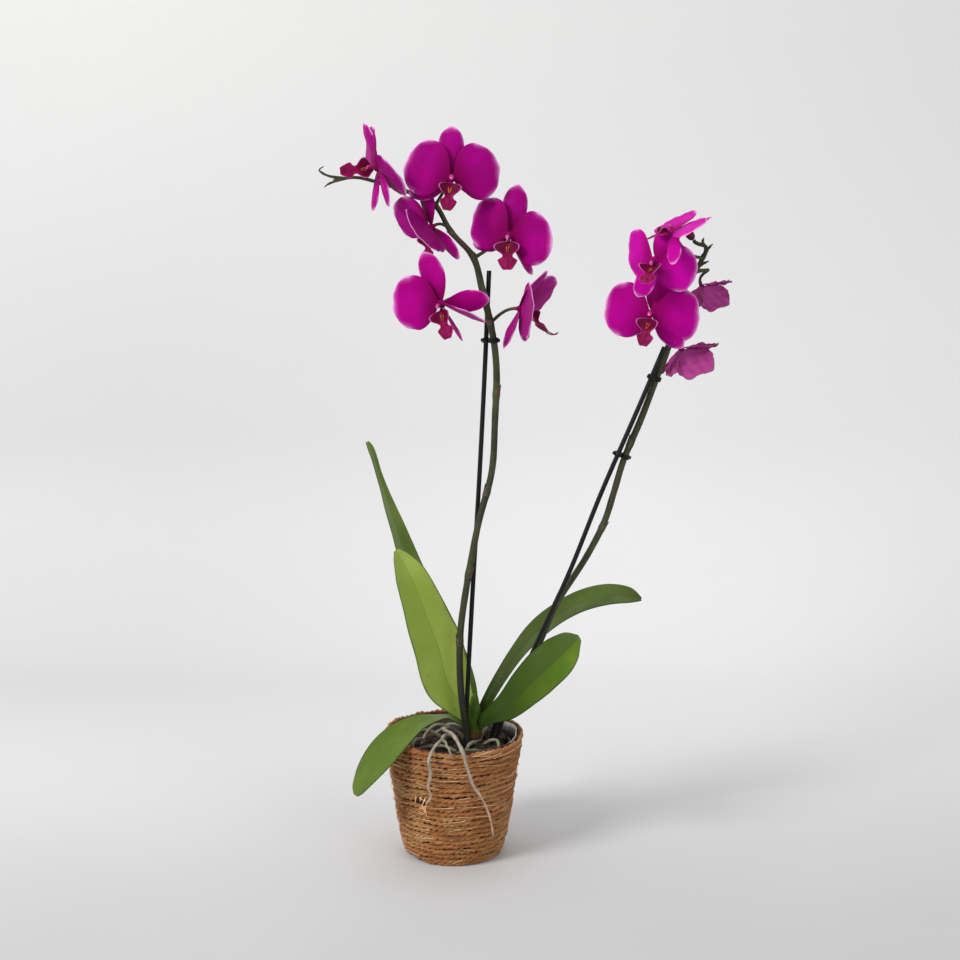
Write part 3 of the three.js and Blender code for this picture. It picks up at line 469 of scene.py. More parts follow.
# Leaves: half is painted light and shade beside the midrib, foot a base tone, painted shade on the arching and low
# leaves
def leafFinish(look):
    upper = [look["light"], ("cloud", 1, look["dark"]), ("broad", 0.6, look["deep"]),
             ("foot", look["footStrength"], look["foot"]), ("lines", 0.3, look["deep"]),
             ("flecks", 0.22, look["deep"]), ("rib", 0.6, look["rib"]), ("half", look["halfStrength"], look["half"])]
    under = [look["under"], ("cloud", 1, look["light"])]
    return {
        "masks": {
            "cloud": ("mottle", 22, 4), "broad": ("mottle", 9, 1), "fine": ("mottle", 900, 1),
            "flecks": ("mottle", 260, 4, 0.5, 0.7), "lines": ("veins", 15, 0.8, 3), "scars": ("specks", 55, 0.1),
            "foot": ("along", look["deepReach"], 0.05), "rib": ("middle", 0.05, 0), "half": ("across", -0.12, 0.12),
            "face": ("face",), "band": ("rimBand", 0.92, 0.99, 0.05),
        },
        "colour": [under, ("face", 1, upper), ("band", 0.75, look["edge"]), ("scars", 0.3, (60, 62, 34))],
        "roughness": ("cloud", 0.4, 0.52), "relief": ({"lines": 0.5, "fine": 0.2}, 0.25, 0.25),
        "shine": {"Coat Weight": look["coat"], "Coat Roughness": 0.36, **gleam(0.2)},
    }


leafLooks = {
    "tall": {
        "light": (120, 142, 66), "dark": (98, 124, 46), "deep": (80, 106, 30), "foot": (62, 94, 16),
        "rib": (80, 100, 44), "under": (122, 140, 84), "edge": (58, 74, 36), "half": (138, 154, 104),
        "halfStrength": 0.35, "deepReach": 0.6, "footStrength": 0.5, "coat": 0.04,
    },
    "wide": {
        "light": (168, 184, 92), "dark": (150, 170, 70), "deep": (128, 152, 50), "foot": (160, 184, 76),
        "rib": (112, 134, 48), "under": (132, 148, 84), "edge": (60, 72, 36), "half": (120, 148, 50),
        "halfStrength": 0.4, "deepReach": 0.5, "footStrength": 0.7, "coat": 0.1,
    },
    "drooping": {
        "light": (104, 126, 40), "dark": (86, 110, 24), "deep": (72, 96, 26), "foot": (112, 132, 72),
        "rib": (76, 100, 34), "under": (108, 126, 66), "edge": (54, 74, 28), "half": (84, 110, 34),
        "halfStrength": 0.4, "deepReach": 0.5, "footStrength": 0.35, "coat": 0.04,
    },
    # The arching leaf's dark foot is painted shade near its base
    "arching": {
        "light": (84, 102, 38), "dark": (68, 88, 24), "deep": (54, 74, 14), "foot": (40, 58, 12),
        "rib": (46, 62, 18), "under": (92, 112, 60), "edge": (44, 58, 24), "half": (126, 144, 92),
        "halfStrength": 0, "deepReach": 0.5, "footStrength": 0.7, "coat": 0.04,
    },
    # The low leaf's dark foot and dark half are painted shade
    "low": {
        "light": (100, 128, 26), "dark": (80, 110, 10), "deep": (58, 90, 2), "foot": (20, 38, 2),
        "rib": (36, 62, 2), "under": (88, 114, 40), "edge": (36, 58, 12), "half": (46, 72, 4),
        "halfStrength": 0.65, "deepReach": 0.8, "footStrength": 0.9, "coat": 0.08,
    },
}
leafPaint = {name: newMaterial(name + "LeafSkin", leafFinish(look)) for name, look in leafLooks.items()}


def plasticFinish(light, dark, smooth, rough):
    return {
        "masks": {"cloud": ("mottle", 70, 4), "grain": ("mottle", 1500, 1)}, "colour": [light, ("cloud", 1, dark)],
        "roughness": ("cloud", smooth, rough), "relief": ({"grain": 1}, 0.12, 0.1), "shine": gleam(0.28),
    }


finishes = {
    "lipSkin": {
        "masks": {"cloud": ("mottle", 150, 3), "throat": ("along", 0.5, 0.3), "stripes": ("veins", 6, 1.4, 3),
                  "pale": (("rimBand", 0.9, 0.98, 0.1), ("along", 0.52, 0.44, (0.25, 0.6)))},
        "colour": [(148, 0, 84), ("cloud", 1, (114, 0, 58)), ("throat", 0.7, (86, 0, 42)),
                   ("stripes", 0.4, (78, 0, 36)), ("pale", 1, (226, 128, 200))],
        "roughness": ("cloud", 0.45, 0.6), "relief": ({"stripes": 1}, 0.3, 0.2), "shine": gleam(0.12),
    },
    "lipCallus": {
        "masks": {"dots": ("specks", 900, 0.42), "cloud": ("mottle", 300, 2)},
        "colour": [(196, 104, 58), ("cloud", 1, (160, 48, 42)), ("dots", 1, (126, 10, 26))],
        "roughness": ("cloud", 0.35, 0.5), "relief": ({"dots": 1}, 0.25, 0.15), "shine": gleam(0.3),
    },
    "columnSkin": {
        "masks": {"cloud": ("mottle", 260, 2), "foot": ("along", 8.6, 6), "front": ("along", 10.7, 11)},
        "colour": [(202, 70, 150), ("cloud", 1, (172, 34, 122)), ("foot", 1, (146, 6, 96)),
                   ("front", 1, (216, 124, 184))],
        "roughness": ("cloud", 0.4, 0.5), "relief": ({"cloud": 1}, 0.15, 0.15), "shine": gleam(0.3),
    },
    "budSkin": {
        "masks": {"folds": ("fibres", 3, 0.05), "cloud": ("mottle", 220, 3)},
        "colour": [(110, 0, 62), ("folds", 1, (70, 2, 38)), ("cloud", 0.5, (92, 48, 40))],
        "roughness": ("cloud", 0.4, 0.6), "relief": ({"folds": 1}, 0.5, 0.4), "shine": gleam(0.3),
    },
    "stemSkin": {
        "masks": {"cloud": ("mottle", 45, 4, 0.4, 0.62), "brown": ("mottle", 14, 2, 0.48, 0.66),
                  "grain": ("fibres", 6, 0.03), "dots": ("specks", 330, 0.16), "low": ("Z", 0.27, 0.17),
                  "blush": ("rim", 0.15, 1)},
        "colour": [(64, 72, 36), ("cloud", 1, (42, 46, 24)), ("brown", 0.7, (70, 50, 40)),
                   ("grain", 0.25, (40, 40, 24)), ("dots", 0.5, (124, 114, 88)), ("low", 0.85, (26, 26, 22)),
                   ("blush", 1, (98, 56, 58))],
        "roughness": ("cloud", 0.42, 0.58), "relief": ({"grain": 1, "dots": 0.5}, 0.3, 0.2), "shine": gleam(0.35),
    },
    "dryBract": {
        "masks": {"grain": ("fibres", 5, 0.08), "cloud": ("mottle", 180, 3)},
        "colour": [(96, 74, 56), ("grain", 1, (58, 42, 34)), ("cloud", 0.6, (72, 66, 46))],
        "roughness": ("cloud", 0.6, 0.8), "relief": ({"grain": 1}, 0.5, 0.3),
    },
    "sheathSkin": {
        "masks": {"cloud": ("mottle", 60, 4), "grain": ("fibres", 5, 0.05), "dry": ("Z", 0.13, 0.116)},
        "colour": [(78, 104, 20), ("cloud", 1, (50, 76, 10)),
                   ("dry", 1, [(116, 88, 54), ("grain", 1, (64, 44, 28))])],
        "roughness": ("cloud", 0.4, 0.55), "relief": ({"grain": 1}, 0.4, 0.3), "shine": gleam(0.2),
    },
    "rootSkin": {
        "masks": {"cloud": ("mottle", 110, 5, 0.38, 0.62), "hanging": ("Z", 0.096, 0.078),
                  "dots": ("specks", 520, 0.3), "grain": ("fibres", 5, 0.12), "green": ("rim",)},
        "colour": [(186, 180, 168), ("cloud", 1, (148, 142, 126)),
                   ("hanging", 1, [(206, 176, 152), ("cloud", 1, (174, 140, 114))]), ("dots", 0.7, (104, 90, 74)),
                   ("grain", 0.35, (160, 122, 92)), ("green", 1, (104, 108, 80))],
        "roughness": ("cloud", 0.7, 0.88), "relief": ({"cloud": 1, "dots": -0.6}, 0.6, 0.4),
    },
    "barkChip": {
        "masks": {"cloud": ("mottle", 140, 6, 0.38, 0.62), "layers": ("fibres", 4, 0.3), "dry": ("rim",)},
        "colour": [(50, 35, 24), ("cloud", 1, (14, 10, 7)), ("layers", 0.4, (84, 54, 36)),
                   ("dry", 0.5, (104, 88, 66))],
        "roughness": ("cloud", 0.78, 0.95), "relief": ({"cloud": 1, "layers": 1}, 0.8, 0.8),
    },
    "seagrass": {
        "masks": {"strands": ("fibres", 5, 0.05, 0.36, 0.62), "hair": ("fibres", 16, 0.03, 0.42, 0.62),
                  "glint": ("fibres", 24, 0.045, 0.56, 0.66), "worn": ("rim",),
                  "patches": ("mottle", 34, 4, 0.46, 0.66), "dusk": ("mottle", 16, 3, 0.5, 0.7)},
        "colour": [(255, 188, 112), ("strands", 1, (246, 150, 80)), ("hair", 0.8, (150, 76, 30)),
                   ("glint", 0.75, (255, 234, 190)), ("worn", 0.6, (206, 132, 70)), ("patches", 0.4, (255, 214, 150)),
                   ("dusk", 0.4, (186, 104, 50))],
        "roughness": ("strands", 0.6, 0.78), "relief": ({"strands": 1, "hair": -0.9}, 0.9, 0.5), "shine": gleam(0.3),
    },
    # Painted shade that shows between the rows of rope, darkest in the gap in the weave
    "basketShade": {
        "masks": {"cloud": ("mottle", 120, 4), "hollow": ("rim",)},
        "colour": [(92, 44, 18), ("cloud", 1, (54, 24, 10)), ("hollow", 1, (26, 14, 8))],
        "roughness": ("cloud", 0.8, 0.95), "relief": ({"cloud": 1}, 0.5, 0.5),
    },
    "paleStraw": {
        "masks": {"cloud": ("mottle", 200, 3)}, "colour": [(255, 216, 168), ("cloud", 1, (236, 170, 112))],
        "roughness": ("cloud", 0.55, 0.7), "relief": ({"cloud": 1}, 0.3, 0.1), "shine": gleam(0.6),
    },
    # A grey film, darkened as painted shade inside the basket, with a painted highlight on its top edge at the right
    "linerFilm": {
        "masks": {"cloud": ("mottle", 35, 4), "folds": ("mottle", 16, 1),
                  "edge": (("along", 112, 121), ("X", 0.02, 0.055))},
        "colour": [(92, 84, 80), ("cloud", 1, (58, 50, 48)), ("folds", 0.4, (40, 34, 32)),
                   ("edge", 1, (186, 180, 172))],
        "roughness": ("cloud", 0.2, 0.38), "relief": ({"cloud": 1, "folds": 1}, 0.4, 0.8), "shine": gleam(0.6),
    },
    "potPlastic": plasticFinish((58, 58, 58), (40, 40, 41), 0.42, 0.55),
    "blackPlastic": plasticFinish((15, 15, 16), (7, 7, 8), 0.36, 0.5),
}
paint = {name: newMaterial(name, finish) for name, finish in finishes.items()}
print("materials made")

# Basket: one twisted seagrass rope wound up the wall and coiled under the floor
basket = {
    "topRadius": 69.4, "baseRadius": 50.4, "height": 124, "footTuck": 5, "tuckHeight": 7, "turns": 24,
    "ropeHalf": 2.7, "plyRadius": 1.74, "plyOffset": 1.0, "flatness": 0.8, "twistLength": 12, "step": 1.95,
    "sides": 8, "seed": 11, "humpHeight": 3.4, "humpAngle": 2.15, "humpWidth": 0.6, "wallThickness": 1.9,
    "holeAngle": -121, "holeHeight": 68, "holeWidth": 8.5, "holeTall": 5, "holeDepth": 4.8, "bowFrom": 20,
    "bowOver": 60, "bows": [(2, 0.6, 0.9), (5, 0, 0.5)], "knotLength": 16, "twistDrift": 3.2, "outDrift": 0.5,
    "upDrift": 0.85, "plyDrift": 0.3, "strandDepth": 0.11, "strands": 3, "strandLength": 9, "ground": 0.1,
    "looseFibres": 460, "frayedStraws": 9,
}
floorCoil = {"turns": 8.4, "radius": 43.5, "inward": 5, "height": 2.9, "scale": 0.8, "step": 3, "middle": 26}
holeAngle = math.radians(basket["holeAngle"])


def basketRadius(height):
    share = height / basket["height"]
    tuck = basket["footTuck"] * np.exp(-height / basket["tuckHeight"])
    return basket["baseRadius"] + (basket["topRadius"] - basket["baseRadius"]) * share - tuck


def basketRise(angle, height):
    # The rows bow a little up and down, most near the rim, which stands higher at the back left
    share = np.clip((height - basket["bowFrom"]) / basket["bowOver"], 0, 1)
    hump = basket["humpHeight"] * hill(angleFrom(angle, basket["humpAngle"]), basket["humpWidth"])
    return share * (sum(size * np.sin(count * angle + phase) for count, phase, size in basket["bows"]) + hump)


def holeAt(angle, height, width, tall):
    # One in the middle of the gap in the weave, none away from it
    away = angleFrom(angle, holeAngle) * 60
    return np.exp(-((away / width) ** 2) - ((height - basket["holeHeight"]) / tall) ** 2)


def ropeParts(angle, radius, height, scale, seed):
    # Two plies twisted round one winding path, given by its angle, radius and height at each step
    draw = random.Random(seed)
    count = len(angle)
    length = np.concatenate([[0], np.cumsum(np.abs(np.diff(angle)) * radius[1:])])
    knots = max(int(length[-1] / basket["knotLength"]), 4)
    length += wander(draw, count, knots, basket["twistDrift"])
    outward = ringAt(np.cos(angle), np.sin(angle), 0)
    upward = np.array([0.0, 0, 1])
    centre = outward * radius[:, None] + upward * height[:, None]
    centre += outward * wander(draw, count, knots, basket["outDrift"])[:, None]
    centre += upward * wander(draw, count, knots * 2, basket["upDrift"])[:, None]
    turn = circle(basket["sides"])
    twist = length / basket["twistLength"] * 2 * math.pi
    offset, flat = basket["plyOffset"] * scale, basket["flatness"]
    strandTurn = length / basket["strandLength"]
    parts = []
    for ply in range(2):
        phase = twist + ply * math.pi
        middle = centre + outward * (np.cos(phase) * offset * flat)[:, None]
        middle += upward * (np.sin(phase) * offset)[:, None]
        thick = basket["plyRadius"] * scale * (1 + wander(draw, count, knots * 2, basket["plyDrift"]))
        strands = np.cos(basket["strands"] * turn[None, :] + (strandTurn + ply)[:, None] * 2)
        reach = thick[:, None] * (1 + basket["strandDepth"] * strands)
        rings = (middle[:, None, :] + outward[:, None, :] * (np.cos(turn) * reach * flat)[:, :, None]
                 + upward * (np.sin(turn) * reach)[:, :, None])
        rings[:, :, 2] = np.maximum(rings[:, :, 2], basket["ground"])  # nothing below what it stands on
        part = ringsPart(rings, length, 0, np.clip(wander(draw, count, knots // 2, 1.2), 0, 1))
        part["grow"][:, 1] = np.cos(turn + twist[:, None]).ravel() + ply * 3
        part["grow"][:, 2] = np.sin(turn + twist[:, None]).ravel()
        parts.append(part)
    return parts


def looseFibre(draw):
    # A thin straw that lies along the rope with one end lifted
    start = draw.uniform(0, 2 * math.pi)
    height = draw.uniform(5, basket["height"] - 5)
    sweep = draw.uniform(8, 30) / 62 * draw.choice([-1, 1])
    climb = draw.uniform(-4, 4)
    lift = draw.uniform(0.2, 1.9)
    angles = np.linspace(start, start + sweep, 8)
    share = np.linspace(0, 1, 8)
    heights = np.clip(height + climb * share, 3, basket["height"] - 1)
    heights = heights + basketRise(angles, heights)
    radii = basketRadius(heights) + 0.55 + lift * share ** 2.5
    path = ringAt(np.cos(angles) * radii, np.sin(angles) * radii, heights)
    return tubePart(path, np.linspace(0.45, 0.2, 8), 3, draw.choice([0, 0, 2]), draw.uniform(0, 0.6))


def frayedStraw(draw):
    # A broken straw that bristles out of the gap in the weave
    around = holeAngle + draw.uniform(-0.1, 0.1)
    height = basket["holeHeight"] + draw.choice([-5, -4, 5]) + draw.uniform(-1.5, 1.5)
    radius = float(basketRadius(height)) - 2
    out = np.array([math.cos(around), math.sin(around), 0])
    side = np.array([-math.sin(around), math.cos(around), 0])
    reach = draw.uniform(3, 7)
    path = spacedPath([
        out * radius + [0, 0, height],
        out * (radius + 2.4) + side * draw.uniform(-2, 2) + [0, 0, height + draw.uniform(-1, 1)],
        out * (radius + draw.uniform(2.8, 4)) + side * draw.uniform(-reach, reach)
        + [0, 0, height + draw.uniform(-10, 0)],
    ], 7)
    return tubePart(path, np.linspace(0.8, 0.4, 7), 4, 2, 0)


def makeBasket():
    draw = random.Random(basket["seed"])
    turns, half = basket["turns"], basket["ropeHalf"]
    winds = np.arange(0, turns, basket["step"] / (2 * math.pi * 60))
    angle = winds * 2 * math.pi - 2.2
    share = np.clip((winds - 0.5) / (turns - 1), 0, 1)
    height = half + 0.5 + share * (basket["height"] - 2 * half - 0.5)
    radius = basketRadius(height) + 0.6 - half * basket["flatness"]
    bowed = height + basketRise(angle, height)
    hole = holeAt(angle, bowed, basket["holeWidth"], basket["holeTall"])
    parted = bowed + hole * basket["holeTall"] * np.sign(bowed - basket["holeHeight"])
    parts = ropeParts(angle, radius - hole * basket["holeDepth"], parted, 1, 3)
    coils = np.arange(0, floorCoil["turns"], floorCoil["step"] / (2 * math.pi * floorCoil["middle"]))
    coilRadius = floorCoil["radius"] - coils * floorCoil["inward"]
    parts += ropeParts(coils * 2 * math.pi, coilRadius, coils * 0 + floorCoil["height"], floorCoil["scale"], 5)
    # A dark wall behind the rope, painted shade between the rows, so no light comes through between them
    wall = [(basketRadius(h) - 2.7, h) for h in np.linspace(1.2, basket["height"] - 1.5, 24)]
    inside = [(r - basket["wallThickness"], h) for r, h in wall[::-1]]
    shade = turnedPart([(0.1, 1.2)] + wall + inside[:-1] + [(inside[-1][0], 4.6), (0.1, 4.6)], 72, 1)
    points = shade["points"]
    around = np.arctan2(points[:, 1], points[:, 0])
    # The rim mark is deeper painted shade where the weave gapes
    shade["rim"] = holeAt(around, points[:, 2], 9, 7)
    points[:, :2] *= (1 - shade["rim"] * 0.8 / 60)[:, None]
    points[:, 2] += basketRise(around, points[:, 2])
    parts.append(shade)
    parts += [looseFibre(draw) for _ in range(basket["looseFibres"])]
    parts += [frayedStraw(draw) for _ in range(basket["frayedStraws"])]
    paints = [paint["seagrass"], paint["basketShade"], paint["paleStraw"]]
    makePiece("seagrassBasket", parts, paints, "basket")


makeBasket()
print("basket wound")

# Liner: a thin film against the basket's inside, its free edge rippled and lower away from the right
liner = {"bottom": 5.3, "rise": -1.2, "slip": 4.5, "thickness": 0.8, "clearance": 5.7, "rippleFrom": 70,
         "ripples": [(5, 1.2, 0.9), (11, 0, 0.3)], "creases": 23, "creaseDepth": 0.28}


def makeLiner():
    top, low, film = basket["height"] + liner["rise"], liner["bottom"], liner["thickness"]
    outer = [(basketRadius(h) - liner["clearance"], h) for h in np.linspace(low, top, 26)]
    inner = [(r - film, max(h, low + film)) for r, h in outer[::-1]]
    part = turnedPart([(0.1, low)] + outer + inner + [(0.1, low + film)], 144)
    points = part["points"]
    angle = np.arctan2(points[:, 1], points[:, 0])
    share = np.clip((points[:, 2] - liner["rippleFrom"]) / (top - liner["rippleFrom"]), 0, 1)
    ripple = sum(size * np.sin(count * angle + phase) for count, phase, size in liner["ripples"])
    points[:, 2] += share * ripple + basketRise(angle, points[:, 2])
    points[:, 2] -= share * liner["slip"] * (1 - np.cos(angle - 0.3)) / 2
    crease = share * (liner["creaseDepth"] * np.sin(liner["creases"] * angle + points[:, 2] * 0.2) - 0.3)
    points[:, :2] *= (1 + crease / 62)[:, None]
    makePiece("filmLiner", [part], [paint["linerFilm"]], "basket_liner")


makeLiner()

# Nursery pot: a thin tapered cup with a rolled rim and drain holes
pot = {
    "floor": 6.7, "height": 105, "rimRadius": 59.2, "rimDepth": 7, "topRadius": 57.4, "baseRadius": 41,
    "wall": 1.2, "drainRadius": 4, "drainRing": 26, "drains": 4,
}


def potInside(height):
    share = (height - pot["floor"]) / pot["height"]
    return pot["baseRadius"] + (pot["topRadius"] - pot["baseRadius"]) * share - pot["wall"]


def makePot():
    low, top, wall, rim = pot["floor"], pot["floor"] + pot["height"], pot["wall"], pot["rimRadius"]
    step = top - pot["rimDepth"]
    profile = [(0.1, low), (pot["baseRadius"] - 1, low), (pot["baseRadius"], low + 1)]
    profile += [(potInside(h) + wall, h) for h in np.linspace(low + 4, step - 0.6, 12)]
    profile += [(rim - 0.4, step), (rim, step + 0.6), (rim, top - 0.8), (rim - 0.5, top)]
    profile += [(potInside(top) + 0.4, top), (potInside(top), top - 0.5)]
    profile += [(potInside(h), h) for h in np.linspace(step, low + wall + 1, 12)]
    profile += [(potInside(low + wall) - 1, low + wall), (0.1, low + wall)]
    piece = makePiece("growersPot", [turnedPart(profile, 96)], [paint["potPlastic"]], "nursery_pot")
    drills = []
    for angle in circle(pot["drains"]):
        centre = Vector((math.cos(angle) * pot["drainRing"], math.sin(angle) * pot["drainRing"], low))
        bpy.ops.mesh.primitive_cylinder_add(
            vertices=24, radius=pot["drainRadius"] * metre, depth=6 * metre, location=centre * metre)
        drills.append(bpy.context.object)
        cut = piece.modifiers.new("drain", "BOOLEAN")
        cut.operation = "DIFFERENCE"
        cut.object = drills[-1]
    shaped = bpy.data.meshes.new_from_object(piece.evaluated_get(bpy.context.evaluated_depsgraph_get()))
    piece.modifiers.clear()
    piece.data = shaped
    for drill in drills:
        bpy.data.objects.remove(drill)


makePot()

# Bark: rough chips heaped over the filling
bark = {"level": 103.7, "chips": 120, "spread": 51, "seed": 5, "low": 8.3, "goldenAngle": 2.39996,
        "blockiness": 0.42, "roughness": 0.16, "long": (9, 22), "wide": (5, 11), "tall": (4, 7), "heap": 4.5}


def chipPart(draw, centre, size, turns):
    # A blocky splinter of bark with a rough skin
    rows, columns = 9, 14
    ball = ballRings(rows, columns, 0.02)
    rings = np.sign(ball) * np.abs(ball) ** bark["blockiness"]
    rough = bark["roughness"]
    rings *= 1 + np.array([[draw.uniform(-rough, rough) for _ in range(columns)] for _ in range(rows)])[:, :, None]
    rings *= np.array(size) / 2
    part = ringsPart(rings, np.linspace(0, size[2], rows) + draw.uniform(0, 90), 0, draw.random() ** 3)
    for axis, degrees in enumerate(turns):
        part["points"] = turnPoints(part["points"], axis, degrees)
    part["points"] += np.array(centre)
    return part


def makeBark():
    draw = random.Random(bark["seed"])
    level, low = bark["level"], bark["low"]
    profile = [(0.1, low)] + [(potInside(h) - 0.4, h) for h in np.linspace(low, level - 2, 8)]
    parts = [turnedPart(profile + [(potInside(level) - 3, level), (0.1, level)], 64)]
    for i in range(bark["chips"]):
        angle = i * bark["goldenAngle"]
        distance = bark["spread"] * math.sqrt((i + 0.5) / bark["chips"]) * draw.uniform(0.94, 1.0)
        size = [draw.uniform(*bark[side]) for side in ("long", "wide", "tall")]
        turns = (draw.uniform(-40, 40), draw.uniform(-35, 35), draw.uniform(0, 360))
        height = level + draw.uniform(0, bark["heap"])
        centre = (math.cos(angle) * distance, math.sin(angle) * distance, height)
        parts.append(chipPart(draw, centre, size, turns))
    makePiece("barkFilling", parts, [paint["barkChip"]], "bark")


makeBark()
print("pot filled")

# Crown: where the leaf sheaths stand, with their height, half width, half depth and lean
crown = {
    "x": 20, "y": 9.5, "bottom": 113, "sheaths": [(0.3, 10), (math.pi + 0.2, 17), (0.1, 26)],
    "levels": [(113, 6.6, 6.2, 0), (115, 7.6, 6.9, 0), (122, 8.6, 7.2, 0), (133, 8.8, 6.8, -0.4), (145, 7, 5.4, 0.4),
               (156, 4.6, 3.2, 1.1), (159, 2.6, 1.6, 1.2)],
    "slant": 9, "stepWidth": 0.5, "stepHeight": 1.2, "ribs": 9, "ribDepth": 0.1,
}

# Rootstock: the buried stem, and each grey root's radius and course
roots = {
    "stump": [(0.1, 90), (4, 90), (5.2, 91.5), (6.8, 96), (7.4, 103), (7.2, 108), (6.8, 112.4), (0.1, 112.4)],
    "long": [
        (1.7, [(16, 12, 103), (6.5, 11, 116), (-4, 2, 126), (-9, -20, 131), (0, -38, 131), (5, -56, 129),
               (9, -70, 126), (12, -75.5, 118), (16, -74, 105), (20, -71.5, 92), (28, -68, 78), (33, -64, 66),
               (37, -60, 54), (39, -57.5, 36)]),
        (1.6, [(17, 8, 101), (7, 6, 110), (-1, -6, 119), (-7, -26, 128), (-11, -48, 129), (-17, -66, 127.5),
               (-22, -73.5, 119), (-21, -72, 104), (-23, -68, 89), (-21, -66, 78), (-25, -62, 69)]),
        (1.7, [(17, 10, 101), (5, 12, 117), (-16, 10, 127), (-28, 6, 118), (-33, 4, 102)]),
        (1.6, [(21, 4, 104), (21, -11, 114), (19, -24, 119), (14, -36, 118), (10, -43, 98)]),
        (1.6, [(25, 7, 104), (37, -8, 116), (44, -16, 118), (45, -21, 108), (44, -22, 96)]),
        (1.7, [(24, 12, 104), (32, 26, 117), (33, 34, 118), (31, 38, 108), (30, 39, 96)]),
    ],
    "small": [
        (1.3, [(-10, -48, 130), (-6, -62, 130), (-4, -70, 127.5), (-1, -72, 121)]),
        (1.6, [(-30, 8, 112), (-36, -8, 117), (-40, -26, 116), (-36, -40, 108)]),
        (1.5, [(-12, 22, 110), (-26, 20, 118), (-40, 12, 116), (-46, 0, 108)]),
        (1.5, [(2, -28, 112), (-14, -30, 118), (-28, -32, 117), (-38, -22, 110)]),
        (1.6, [(-18, 30, 112), (-4, 36, 119), (12, 34, 118), (22, 44, 110)]),
        (1.4, [(30, -34, 112), (20, -42, 117), (6, -48, 116), (-2, -50, 110)]),
    ],
    "seed": 21, "bend": 0.5, "kink": 0.22, "unevenness": 0.18, "taper": 0.25,
}


def rootPart(draw, radius, points, count, rim):
    path = spacedPath(points, count)
    held = np.clip(np.linspace(0, 6, count), 0, 1)
    for axis in range(3):
        path[:, axis] += wander(draw, count, max(count // 5, 3), roots["bend"]) * held
        path[:, axis] += wander(draw, count, count // 3, roots["kink"])
    low = np.clip((96 - path[:, 2]) / 20, 0, 1) * (points[-1][2] < 90)
    radii = radius * (1 - roots["taper"] * np.linspace(0, 1, count)) * (1.16 - 0.3 * low)
    radii = radii * (1 + wander(draw, count, count // 2, roots["unevenness"]))
    return tubePart(path, radii, 12, 0, rim, rounded=True)


def makeRootstock():
    draw = random.Random(roots["seed"])
    parts = [turnedPart(roots["stump"], 28)]
    parts[0]["points"] += np.array([crown["x"], crown["y"], 0])
    for radius, points in roots["long"]:
        inside = points[-1][2] > 90
        parts.append(rootPart(draw, radius, points, 26 if inside else 70, 0.5 if inside else 0.0))
    for radius, points in roots["small"]:
        parts.append(rootPart(draw, radius, points, 26, draw.uniform(0.4, 0.9)))
    makePiece("rootSystem", parts, [paint["rootSkin"]], "rootstock")


def makeCrown():
    values = np.array(crown["levels"])
    heights = np.linspace(crown["bottom"], values[-1][0], 36)
    turn = circle(56)
    rings = []
    for height in heights:
        width, depth, lean = (np.interp(height, values[:, 0], values[:, k]) for k in (1, 2, 3))
        # Each sheath wraps the one above, so its edge shows as a slanting step
        edges = [np.cos(turn - side) * crown["slant"] + crown["bottom"] + up - height
                 for side, up in crown["sheaths"]]
        step = sum(crown["stepWidth"] * np.clip(edge / crown["stepHeight"], 0, 1) for edge in edges)
        swell = step + crown["ribDepth"] * np.cos(turn * crown["ribs"] + height * 0.05) - 1
        rings.append(ringAt(crown["x"] + lean + np.cos(turn) * (width + swell),
                            crown["y"] + np.sin(turn) * (depth + swell), height))
    makePiece("leafSheaths", [ringsPart(np.array(rings), heights)], [paint["sheathSkin"]], "crown")


makeRootstock()
makeCrown()
print("roots and crown grown")

